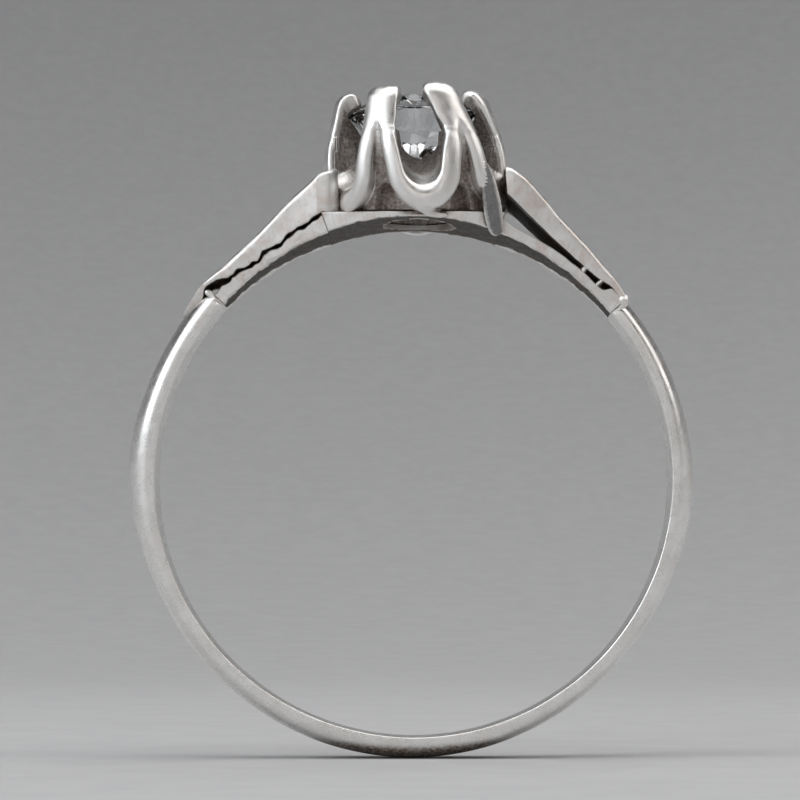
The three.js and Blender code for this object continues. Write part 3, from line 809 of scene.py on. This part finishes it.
def loop_span(k):
    """Azimuths of the two limbs of the loop after claw k: at the feet, and where it bends."""
    tip, foot, spring, split, lift, width = CLAWS[k]
    following = CLAWS[(k + 1) % len(CLAWS)]
    turn = 360 if k + 1 == len(CLAWS) else 0
    return (
        foot + FOOT_SPLIT,
        following[1] + turn - FOOT_SPLIT,
        spring + split,
        following[2] + turn - following[3],
    )


def wire_outline(half, lobe, groove, round_depth, recess=0.5):
    """Outline of a head wire as (across, depth of the rounded front, share of the full depth).

    lobe is half the distance between two wires that run side by side, and groove says how far
    the hollow between them is open.
    """
    reach = lobe + half
    front_steps = 30
    side_steps = 14
    outline = []
    for i in range(front_steps + 1):
        a = -reach * cos(pi * i / front_steps)
        single = round_depth * (1 - sqrt(max(0.0, 1 - abs(a / reach) ** 2.6)))
        twin = 9.0
        for sign in (-1, 1):
            b = abs(a - sign * lobe) / half
            if b < 1:
                d = round_depth * (1 - sqrt(1 - b**2.4))
            else:
                d = round_depth + (b - 1) * half * 4
            twin = min(twin, d)
        twin = min(twin, recess + 0.03)
        outline.append((a, lerp(single, twin, groove), 0.0))
    for i in range(1, side_steps + 1):
        outline.append((reach, round_depth, i / side_steps))
    inner_steps = 10
    for i in range(1, inner_steps):
        outline.append((lerp(reach, -reach, i / inner_steps), round_depth, 1.0))
    for i in range(side_steps, 0, -1):
        outline.append((-reach, round_depth, i / side_steps))
    return outline


def loop_path(k):
    """Azimuth and height along loop k, from one claw's foot down and up to the next."""
    foot_from, foot_to, spring_from, spring_to = loop_span(k)
    middle = (spring_from + spring_to) / 2
    half = (spring_to - spring_from) / 2
    limb_steps = 16
    bend_steps = 56
    path = []
    for i in range(limb_steps):
        t = i / limb_steps
        path.append((lerp(foot_from, spring_from, t), lerp(CLAW_FOOT, LOOP_SPRING, t)))
    for i in range(bend_steps + 1):
        a = pi * i / bend_steps
        drop = (LOOP_SPRING - LOOP_BOTTOMS[k]) * sin(a)
        path.append((middle - half * cos(a), LOOP_SPRING - drop))
    for i in range(limb_steps - 1, -1, -1):
        t = i / limb_steps
        path.append((lerp(foot_to, spring_to, t), lerp(CLAW_FOOT, LOOP_SPRING, t)))
    path = np.array(path)
    for _ in range(6):
        path[1:-1] = 0.5 * path[1:-1] + 0.25 * (path[:-2] + path[2:])
    return path


def loop_shape(k):
    """One loop of the head: its wire in front, and the window filed inwards and upwards behind it."""
    path = loop_path(k)
    _, _, spring_from, spring_to = loop_span(k)
    m = radians((spring_from + spring_to) / 2)
    facing = np.array((sin(m), -cos(m), 0.0))
    sideways = np.array((cos(m), sin(m), 0.0))
    up = np.array((0.0, 0.0, 1.0))
    centres = np.array([head_point(head_outer(z), az, z) for az, z in path])
    rows = []
    travelled = 0.0
    for i, (az, z) in enumerate(path):
        if i:
            travelled += float(np.linalg.norm(centres[i] - centres[i - 1]))
        along = centres[min(len(path) - 1, i + 1)] - centres[max(0, i - 1)]
        along = along / np.linalg.norm(along)
        a = radians(az)
        away = np.array((sin(a), -cos(a), 0.0))
        across = np.cross(away, along)
        across = across / np.linalg.norm(across)
        rise = ease((LOOP_SPRING + 0.3 - z) / 0.7)
        sink = 0.025 * ease((z - 10.95) / 0.4)
        buried = lerp(1.0, 0.15, ease((z - 10.7) / 0.6))
        share_along = i / (len(path) - 1)
        at_end = ease((share_along - 0.25) / 0.5)
        whole_start, whole_end, out_start, out_end = LOOP_ENDS[k]
        whole = lerp(whole_start, whole_end, at_end)
        whole = lerp(whole, min(whole, 1.06), ease((z - 10.4) / 0.85))
        half = (WIRE_HALF_WIDTH - sink) * whole
        low_down = ease((LOOP_SPRING + 0.6 - z) / 0.9)
        outside = 1 + (lerp(out_start, out_end, ease((share_along - 0.35) / 0.3)) - 1) * low_down
        edge = centres[i] + across * half - np.array(head_point(0.0, 0.0, z))
        aside = float(np.dot(edge, sideways))
        ahead = float(np.dot(edge, facing))
        hole = head_inner(z + SILL_SLOPE * rise * 1.8)
        window_depth = ahead - sqrt(max(hole**2 - aside**2, 0.12))
        groove_depth = head_outer(z) - head_inner(z)
        ring = []
        flow = []
        inside = []
        for b, front, share in wire_outline(half, 0.0, 0.0, WIRE_ROUND_DEPTH):
            to_window = clamp01((b / half + 1) / 2)
            full_depth = buried * lerp(groove_depth, window_depth, to_window)
            depth = lerp(front + sink, max(full_depth, front + sink), share)
            filed = facing - up * SILL_SLOPE * rise
            into = away * (1 - to_window) + filed * to_window
            b_out = b * outside if b < 0 else b
            ring.append(centres[i] + across * b_out - into * depth)
            flow.append((travelled, b, depth))
            # painted shade: darker and duller deeper into the window and the groove beside the wire,
            # with a bright sill
            start = lerp(0.2, 0.45, rise)
            inside.append(ease((depth - start) / lerp(0.14, 0.5, rise)))
        rows.append((wander(ring, 0.008, 0.7, 2.0), flow, inside))
    return loft_shape(*zip(*rows))


# radius and height of a claw's outer line, then of its inner line, its half width and how deep
# its front rounds
claw_line = columns_through(
    [
        (2.965, 11.4, 1.75, 11.4, 0.6, 0.2),
        (2.86, 11.8, 1.98, 11.75, 0.585, 0.2),
        (2.77, 12.15, 2.22, 12.02, 0.56, 0.2),
        (2.669, 12.477, 2.27, 12.13, 0.545, 0.19),
        (2.483, 12.714, 2.17, 12.26, 0.52, 0.17),
        (2.225, 12.832, 2.03, 12.345, 0.48, 0.15),
        (2.03, 12.815, 1.9, 12.42, 0.4, 0.12),
        (1.92, 12.75, 1.85, 12.46, 0.28, 0.1),
    ]
)
CLAW_LAST = 7


def claw_shape(k):
    tip, foot, spring, split, lift, width = CLAWS[k]
    rows = []

    def add_ring(az, outer, inner, half, lobe, groove, round_depth, travelled):
        depth = hypot(outer[0] - inner[0], outer[1] - inner[1])
        ring = []
        flow = []
        inside = []
        rounding = min(round_depth, depth * 0.45)
        recess = wall_recess(outer[1])
        for a, front, share in wire_outline(half, lobe, groove, rounding, recess):
            d = lerp(front, depth, share)
            r = lerp(outer[0], inner[0], d / depth)
            z = lerp(outer[1], inner[1], d / depth)
            taper = max(0.0, outer[0] - r - 0.1) * tan(radians(CLAW_TAPER))
            narrow = max(0.12, 1 - taper / (half + lobe))
            ring.append(head_point(r, az + degrees(a * narrow / r), z))
            flow.append((travelled, a, d))
            # painted shade: darker deeper behind the claw's front face, but not near its top
            inside.append(ease((d - 0.2) / 0.14) * (1 - ease((outer[1] - 12.5) / 0.3)))
        rows.append((wander(ring, 0.008, 0.7, 2.0), flow, inside))

    stub_steps = 14
    stub_foot = 10.9
    for i in range(stub_steps):
        z = lerp(stub_foot, CLAW_FOOT, i / stub_steps)
        t = (CLAW_FOOT - z) / (CLAW_FOOT - LOOP_SPRING)
        az = lerp(foot, spring, t)
        limb = lerp(FOOT_SPLIT, split, t)
        radius = head_outer(z)
        lobe = radius * radians(limb)
        proud = lerp(-0.06, 0.0, ease((z - stub_foot) / 0.5))
        widen = lerp(1.0, width, ease((z - 11.2) / 0.4))
        half = (WIRE_HALF_WIDTH + proud) * widen
        groove = 1.0 - 0.3 * ease((z - 11.0) / 0.4)
        ends = (radius + proud, z), (head_inner(z) - proud, z)
        add_ring(az, *ends, half, lobe * widen, groove, WIRE_ROUND_DEPTH, z - CLAW_FOOT)
    steps = 46
    for i in range(steps + 1):
        t = CLAW_LAST * i / steps
        ro, zo, ri, zi, half, round_depth = claw_line(t)
        middle_z = (zo + zi) / 2
        az = lerp(foot, tip, clamp01((middle_z - CLAW_FOOT) / 1.1))
        rise_o = lift * clamp01((zo - CLAW_FOOT) / 1.25)
        rise_i = lift * 0.3 * clamp01((zi - CLAW_FOOT) / 1.25)
        groove = 0.7 * (1 - ease(t / 1.7))
        lobe = 0.3 * groove / 0.7
        widen = lerp(lerp(1.0, width, 0.5), width, ease(t))
        widen *= lerp(1.0, 0.82, ease((t - 3.5) / 2.5)) if k == 2 else 1.0
        half = (half - lobe) * widen
        ends = (ro, zo + rise_o), (ri, zi + rise_i)
        add_ring(az, *ends, half, lobe * widen, groove, round_depth, zo - CLAW_FOOT)
    end, *marks = rows[-1]
    middle = end.mean(axis=0)
    a = radians(tip)
    inward = np.array((-sin(a), cos(a), -0.35))
    for step, shrink in ((0.05, 0.86), (0.085, 0.62), (0.1, 0.3)):
        rows.append((middle + (end - middle) * shrink + inward * step, *marks))
    return loft_shape(*zip(*rows))


def cup_shape():
    """The thick wall behind the wires, with an arched recess at the foot of each claw."""
    arch_half = 9.0
    low = SADDLE_TOP + 0.03
    rings = []
    flows = []
    insides = []
    steps = 540
    levels = 40
    for i in range(steps):
        az = 360 * i / steps
        arch_top = 0.0
        for claw in CLAWS:
            off = (az - claw[2] + 180) % 360 - 180
            if abs(off) < arch_half:
                arch_top = SADDLE_TOP + 0.9 * sqrt(1 - (off / arch_half) ** 2)
        high = CLAW_FOOT - 0.05
        hole = 0.0
        for k in range(len(CLAWS)):
            _, _, spring_from, spring_to = loop_span(k)
            middle = (spring_from + spring_to) / 2
            half = (spring_to - spring_from) / 2
            off = (az - middle + 180) % 360 - 180
            if half <= abs(off) < 45:
                aside = 3.0 * sin(radians(half)) - WIRE_HALF_WIDTH + 0.06
                hole = max(hole, aside / sin(radians(abs(off))))
            if abs(off) < half:
                high = LOOP_SPRING - (LOOP_SPRING - LOOP_BOTTOMS[k]) * sqrt(1 - (off / half) ** 2)
                high = max(high, low + 0.12)
        ring = []
        for j in range(levels + 1):
            z = lerp(low, high, j / levels)
            dent = 0.4 * ease((arch_top - z) / 0.08)
            ring.append((head_outer(z) - wall_recess(z) - dent, z))
        for j in range(levels + 1):
            z = lerp(high, low, j / levels)
            clear = ease((z - 9.3) / 0.4)
            inner = max(head_inner(z), min(hole, 2.3) * clear) + 0.01
            ring.append((min(inner, head_outer(z) - wall_recess(z) - 0.46), z))
        points = [head_point(r, az, z) for r, z in ring]
        rings.append(wander(points, 0.015, 0.45, 9.0))
        flows.append([(z, radians(az) * 2.6, r) for r, z in ring])
        outside_count = levels + 1
        # painted shade: the wall's outer face darker towards the bottom of the grooves, and its inner
        # face dark all over
        wear_and_shade = [lerp(1.0, 0.3, ease((z - 10.0) / 1.2)) for r, z in ring[:outside_count]]
        insides.append(wear_and_shade + [1.0] * outside_count)
    count = len(rings[0])
    faces = grid_faces(steps, count, closed_rows=True)
    marks = {"flow": np.concatenate(flows), "inside": np.concatenate(insides)}
    return np.concatenate(rings), faces, marks


def without_islands(owner, edges, count):
    """Gives islands of few points to the owners round them; what touches nobody gets no owner."""
    island = np.arange(len(owner))
    inner = edges[owner[edges[:, 0]] == owner[edges[:, 1]]]
    settled = False
    while not settled:
        before = island.copy()
        lowest = np.minimum(island[inner[:, 0]], island[inner[:, 1]])
        np.minimum.at(island, inner[:, 0], lowest)
        np.minimum.at(island, inner[:, 1], lowest)
        island = island[island]
        settled = bool((before == island).all())
    small = np.bincount(island, minlength=len(owner))[island] < SMALLEST_ISLAND
    owner = np.where(small, -1, owner)
    changed = True
    while changed:
        votes = np.zeros((len(owner), count))
        for here, there in ((0, 1), (1, 0)):
            known = edges[(owner[edges[:, here]] < 0) & (owner[edges[:, there]] >= 0)]
            np.add.at(votes, (known[:, here], owner[known[:, there]]), 1.0)
        won = (owner < 0) & (votes.sum(axis=1) > 0)
        owner[won] = votes[won].argmax(axis=1)
        changed = bool(won.any())
    return owner


def fuse(shapes):
    """Joins closed shapes into one skin, as metal cast in one piece, and softens its edges.

    Returns the skin's points, faces, normals, marks, and which shape each point came from.
    """
    all_points = []
    all_faces = []
    offset = 0
    for points, faces, _ in shapes:
        all_points.append(points)
        all_faces.extend([[i + offset for i in face] for face in outward(points, faces)])
        offset += len(points)
    sources = np.concatenate(all_points)
    mesh = bpy.data.meshes.new("fuse_source")
    mesh.from_pydata(sources.tolist(), [], all_faces)
    block = link_object(bpy.data.objects.new("fuse_source", mesh))
    remesh = block.modifiers.new("skin", "REMESH")
    remesh.mode = "VOXEL"
    remesh.voxel_size = SKIN_VOXEL
    skin = evaluated(block)
    bpy.data.objects.remove(block)
    points = read(skin.vertices, "co")
    edges = read(skin.edges, "vertices", 2, np.int64)
    links = np.bincount(edges.ravel(), minlength=len(points))[:, None]
    for step in (0.6, -0.45) * SKIN_ROUNDS:
        total = np.zeros_like(points)
        np.add.at(total, edges[:, 0], points[edges[:, 1]])
        np.add.at(total, edges[:, 1], points[edges[:, 0]])
        points = points + (total / links - points) * step
    faces = [list(p.vertices) for p in skin.polygons]
    skin.vertices.foreach_set("co", points.ravel())
    skin.update()
    normals = read(skin.vertex_normals, "vector")
    bpy.data.meshes.remove(skin)

    tree = KDTree(len(sources))
    for i, p in enumerate(sources):
        tree.insert(p, i)
    tree.balance()
    nearest = np.array([tree.find(p)[1] for p in points])
    starts = np.cumsum([len(shape[0]) for shape in shapes])
    owner = np.searchsorted(starts, nearest, side="right")
    everyone = np.arange(len(points))
    for _ in range(OWNER_ROUNDS):
        votes = np.zeros((len(points), len(shapes)))
        votes[everyone, owner] = 1.0
        np.add.at(votes, (edges[:, 0], owner[edges[:, 1]]), 1.0)
        np.add.at(votes, (edges[:, 1], owner[edges[:, 0]]), 1.0)
        owner = votes.argmax(axis=1)
    owner = without_islands(owner, edges, len(shapes))
    marks = {
        key: np.concatenate([np.asarray(shape[2][key], float) for shape in shapes])[nearest]
        for key in ("flow", "inside")
    }
    return points, faces, normals, marks, owner


def cut_out(name, skin, which):
    """The part of a fused skin that came from one shape, shaded as the whole skin is."""
    points, faces, normals, marks, owner = skin
    kept = [face for face in faces if sorted(owner[i] for i in face)[len(face) // 2] == which]
    used = np.unique(np.concatenate([np.array(face) for face in kept]))
    place = {int(old): new for new, old in enumerate(used)}
    own_faces = [[place[i] for i in face] for face in kept]
    own_marks = {key: values[used] for key, values in marks.items()}
    made = make_mesh(name, points[used], own_faces, marks=own_marks)
    made.data.normals_split_custom_set_from_vertices(normals[used].tolist())
    return made


def run_shape(stations, size, middle_shade=0.0):
    """A tapering run along [(x, y, z, half width, half depth), ...], rougher and painted dark down
    its middle as shade.
    """
    line = columns_through(stations)
    steps = 36
    sides = 24
    centres = [line((len(stations) - 1) * i / steps) for i in range(steps + 1)]
    rows = []
    for i, (x, y, z, half_width, half_depth) in enumerate(centres):
        before = np.array(centres[max(0, i - 1)][:3])
        after = np.array(centres[min(steps, i + 1)][:3])
        along = (after - before) / np.linalg.norm(after - before)
        across = np.cross((0, -1, 0), along)
        across = across / np.linalg.norm(across)
        away = np.cross(along, across)
        end = min(i, steps - i) / 5
        taper = sqrt(1 - (1 - clamp01(end)) ** 2) * 0.92 + 0.08
        ring = []
        flow = []
        inside = []
        for a in turns(sides):
            offset = across * (half_width * taper * cos(a)) + away * (half_depth * taper * sin(a))
            ring.append(np.array((x, y, z)) + offset)
            flow.append((z, cos(a) * half_width, 0.0))
            # painted shade: a dark band down the middle of the run
            inside.append(middle_shade * (1 - ease((abs(cos(a)) - 0.55) / 0.35)))
        rows.append((wander(ring, size, 0.3, 6.0), flow, inside))
    return loft_shape(*zip(*rows))


TAIL = [
    (0.1, -3.05, 8.78, 0.14, 0.08),
    (0.3, -2.85, 8.68, 0.17, 0.12),
    (0.55, -2.45, 8.6, 0.15, 0.14),
    (0.8, -2.2, 8.56, 0.12, 0.13),
    (1.15, -2.05, 8.55, 0.06, 0.08),
]
# from the right limb of the head, down over the front of the saddle's right end
LEG = [
    (2.33, -2.2, 10.35, 0.1, 0.04),
    (2.42, -2.17, 9.9, 0.22, 0.07),
    (2.52, -2.13, 9.35, 0.28, 0.1),
    (2.6, -2.06, 8.9, 0.31, 0.12),
    (2.66, -1.97, 8.5, 0.31, 0.13),
    (2.72, -1.91, 8.2, 0.28, 0.12),
    (2.79, -1.87, 8.0, 0.22, 0.1),
    (2.83, -1.86, 7.9, 0.14, 0.08),
]

head_shapes = [loop_shape(k) for k in range(len(CLAWS))]
head_shapes += [claw_shape(k) for k in range(len(CLAWS))]
head_shapes.append(cup_shape())
head_shapes.append(run_shape(TAIL, 0.015))
head_shapes.append(run_shape(LEG, 0.01, 0.85))
head_skin = fuse(head_shapes)


def finish_head_piece(which, node, kind, material=head_metal):
    finish_piece(cut_out(f"{node}_{kind}", head_skin, which), [node], material)


wall_place = 2 * len(CLAWS)
for k in range(len(CLAWS)):
    finish_head_piece(k, f"loop_{k + 1}", "wire")
    finish_head_piece(len(CLAWS) + k, f"claw_{k + 1}", "prong")
finish_head_piece(wall_place, "coronet_wall", "cup")
finish_head_piece(wall_place + 1, "solder_tail_front", "run")
finish_head_piece(wall_place + 2, "solder_leg_right", "strip", strip_metal)


# ---------- stone ----------
def make_stone():
    """Round brilliant with real facets and a scalloped girdle."""
    points = []
    faces = []
    centre_x = HEAD_AXIS_X - HEAD_LEAN * (STONE_GIRDLE - SADDLE_TOP)

    def point(radius, azimuth, z):
        a = radians(azimuth)
        points.append((centre_x + radius * sin(a), -radius * cos(a), z))
        return len(points) - 1

    girdle_top = STONE_GIRDLE + STONE_GIRDLE_HALF
    girdle_foot = STONE_GIRDLE - STONE_GIRDLE_HALF
    table_height = STONE_GIRDLE + STONE_CROWN
    culet_height = STONE_GIRDLE - STONE_PAVILION
    table_radius = STONE_RADIUS * STONE_TABLE_RATIO
    per_half = 22.5
    half_step = cos(radians(per_half))
    star_radius = STONE_RADIUS * 0.76
    crown_slope = (table_height - girdle_top) / (STONE_RADIUS - table_radius)
    star_height = table_height - (star_radius * half_step - table_radius) * crown_slope
    lower_radius = STONE_RADIUS * 0.22
    main_slope = (girdle_foot - culet_height) / STONE_RADIUS
    lower_height = culet_height + lower_radius * half_step * main_slope
    table = [point(table_radius, 45 * k, table_height) for k in range(8)]
    star = [point(star_radius, 45 * k + per_half, star_height) for k in range(8)]
    lower = [point(lower_radius, 45 * k + per_half, lower_height) for k in range(8)]
    culet = point(0, 0, culet_height)

    arc = 8
    scallop = 0.022
    top = []
    foot = []
    for g in range(16 * arc):
        share = (g % arc) / arc
        dip = scallop * 4 * share * (1 - share)
        top.append(point(STONE_RADIUS, per_half * g / arc, girdle_top - dip))
        foot.append(point(STONE_RADIUS, per_half * g / arc, girdle_foot + dip))

    def arc_of(row, half_index):
        start = half_index * arc
        return [row[(start + i) % (16 * arc)] for i in range(arc + 1)]

    faces.append(table)
    for k in range(8):
        following = (k + 1) % 8
        faces.append([table[k], star[k], table[following]])
        faces.append([table[k], star[k - 1], top[2 * k * arc], star[k]])
        faces.append([star[k], *arc_of(top, 2 * k)])
        faces.append([star[k], *arc_of(top, 2 * k + 1)])
        faces.append([culet, lower[k], foot[2 * k * arc], lower[k - 1]])
        faces.append([lower[k], *reversed(arc_of(foot, 2 * k))])
        faces.append([lower[k], *reversed(arc_of(foot, 2 * k + 1))])
    for g in range(16 * arc):
        h = (g + 1) % (16 * arc)
        faces.append([top[g], foot[g], foot[h], top[h]])
    return points, faces


def face_outward(points, faces, centre):
    """Turns each facet so that it faces away from the middle of the stone."""
    turned = []
    for face in faces:
        p = [np.array(points[i]) for i in face]
        normal = np.zeros(3)
        for i in range(len(p)):
            normal += np.cross(p[i], p[(i + 1) % len(p)])
        middle = sum(p) / len(p)
        turned.append(face if float(np.dot(normal, middle - centre)) > 0 else face[::-1])
    return turned


stone_points, stone_faces = make_stone()
stone_middle = np.array(head_point(0.0, 0.0, STONE_GIRDLE)) - np.array((0.0, 0.0, 0.3))
stone_faces = face_outward(stone_points, stone_faces, stone_middle)
stone = make_mesh("diamond_brilliant", stone_points, stone_faces, smooth=False)
finish_piece(stone, ["diamond"], stone_glass)


# ---------- solder ----------
def make_seam(name, side, angle, outer):
    rows = []
    steps = 10
    for i in range(steps + 1):
        t = i / steps
        at = angle + lerp(-JOINT_HALF_SEAM - 0.25, JOINT_HALF_SEAM + 0.25, t)
        swell = 0.035 * sin(pi * t)
        half = BAND_HALF_WIDTH - 0.07 + swell
        ring, flow, _ = bar_ring(
            side, (FINGER_RADIUS + 0.03 - swell / 2, at), (outer - 0.03 + swell, at), half, 0.07, 0.12
        )
        rows.append((wander(ring, 0.03, 0.22, side * 11.0), flow))
    return loft(name, *zip(*rows))


def make_bridge(name, start, end):
    rows = []
    steps = 16
    for i in range(steps + 1):
        t = i / steps
        angle = lerp(start, end, t)
        half = shoulder_half_width(angle) * lerp(0.9, 0.99, sin(pi * t))
        low = right_rail_top(angle) - 0.08
        high = right_strap_underside(angle) + 0.08
        ring, flow, _ = bar_ring(1, (low, angle), (high, angle), half, 0.02, 0.02)
        rows.append((wander(ring, 0.02, 0.2, 4.0), flow))
    return loft(name, *zip(*rows))


def make_bead(name, centre, radii):
    rows = 18
    sides = 28
    rings = []
    for i in range(1, rows):
        polar = pi * i / rows
        ball = [(sin(polar) * cos(a), sin(polar) * sin(a), cos(polar)) for a in turns(sides)]
        ring = np.array(centre) + np.array(ball) * np.array(radii)
        rings.append(wander(ring, 0.03, 0.18, 8.0))
    return loft(name, rings)


solder_pieces = [
    make_seam("solder_seam_left_fillet", -1, LEFT_JOINT, 9.3),
    make_seam("solder_seam_right_fillet", 1, RIGHT_JOINT, 9.16),
    make_bead("solder_bead_right_fillet", band_point(9.12, 50.0, -0.78), (0.2, 0.22, 0.23)),
    make_bridge("solder_bridge_right_1_fillet", 38.8, 40.2),
    make_bridge("solder_bridge_right_2_fillet", 43.2, 44.4),
]
for piece in solder_pieces:
    finish_piece(piece, [piece.name.removesuffix("_fillet")], solder)


# ---------- floor ----------
FLOOR_FLAT = 110
FLOOR_BEND = 430
FLOOR_PALE = (0.6, 0.6, 0.6)
FLOOR_DIM = (0.57, 0.57, 0.575)


def make_floor():
    """A seamless round sweep: flat in the middle, rising at the edge."""
    level = cad_low.z / MM - 0.01
    profile = [(0.5, 0.0)] + [(FLOOR_FLAT * i / 8, 0.0) for i in range(1, 9)]
    for i in range(1, 25):
        a = radians(90 * i / 24)
        profile.append((FLOOR_FLAT + FLOOR_BEND * sin(a), FLOOR_BEND * (1 - cos(a))))
    sides = 96
    points = [(r * cos(a), r * sin(a), level + rise) for r, rise in profile for a in turns(sides)]
    faces = grid_faces(len(profile), sides)
    faces.append(list(range(sides - 1, -1, -1)))
    floor = make_mesh("floor_sweep", points, outward(np.array(points), faces))
    n = Nodes("floor_paper")
    grain = n.noise(n.place(), 0.4, 4.0, 0.6)
    paper = n.mix(n.spread(grain, 0.3, 0.7, 0.0, 1.0), FLOOR_PALE, FLOOR_DIM)
    n.put(n.shader, Base_Color=paper)
    n.put(n.shader, Roughness=0.9)
    n.put(n.shader, Specular_IOR_Level=0.1)
    floor.data.materials.append(n.material)
    return floor


make_floor()


# ---------- light ----------
def soft_light(name, place, target, size, power, colour):
    data = bpy.data.lights.new(name, "AREA")
    data.shape = "RECTANGLE"
    data.size = size[0] * MM
    data.size_y = size[1] * MM
    data.energy = power
    data.color = colour
    lamp = bpy.data.objects.new(name, data)
    lamp.location = Vector(place) * MM
    direction = Vector(target) - Vector(place)
    lamp.rotation_mode = "QUATERNION"
    lamp.rotation_quaternion = direction.to_track_quat("-Z", "Y")
    lamp.visible_camera = False
    link_object(lamp)


soft_light("key_left", (-290, -190, 170), (0, 0, 3), (340, 340), 0.72, (0.92, 0.96, 1.0))
soft_light("over", (20, -30, 320), (0, 0, 3), (460, 320), 0.8, (1.0, 1.0, 1.0))
soft_light("right_top", (280, -60, 220), (0, 0, 3), (200, 240), 0.2, (1.0, 0.96, 0.93))
soft_light("front_fill", (40, -420, 40), (0, 0, 3), (460, 320), 0.56, (1.0, 0.94, 0.9))

world = bpy.data.worlds.new("studio")
world.use_nodes = True
backdrop = world.node_tree.nodes["Background"]
backdrop.inputs["Color"].default_value = (0.5, 0.52, 0.56, 1.0)
backdrop.inputs["Strength"].default_value = 0.05
bpy.context.scene.world = world


# ---------- camera ----------
camera_data = bpy.data.cameras.new("camera")
camera_data.sensor_width = 36.0
camera_data.lens = 117.338
camera_data.clip_start = 0.001
camera_data.clip_end = 10.0
camera = bpy.data.objects.new("camera", camera_data)
camera.location = Vector((-0.187, -87.0, -4.7)) * MM
camera.rotation_euler = (radians(90 + 4.811), 0.0, radians(0.167))
link_object(camera)
bpy.context.scene.camera = camera

view_settings = bpy.context.scene.view_settings
view_settings.view_transform = "Standard"
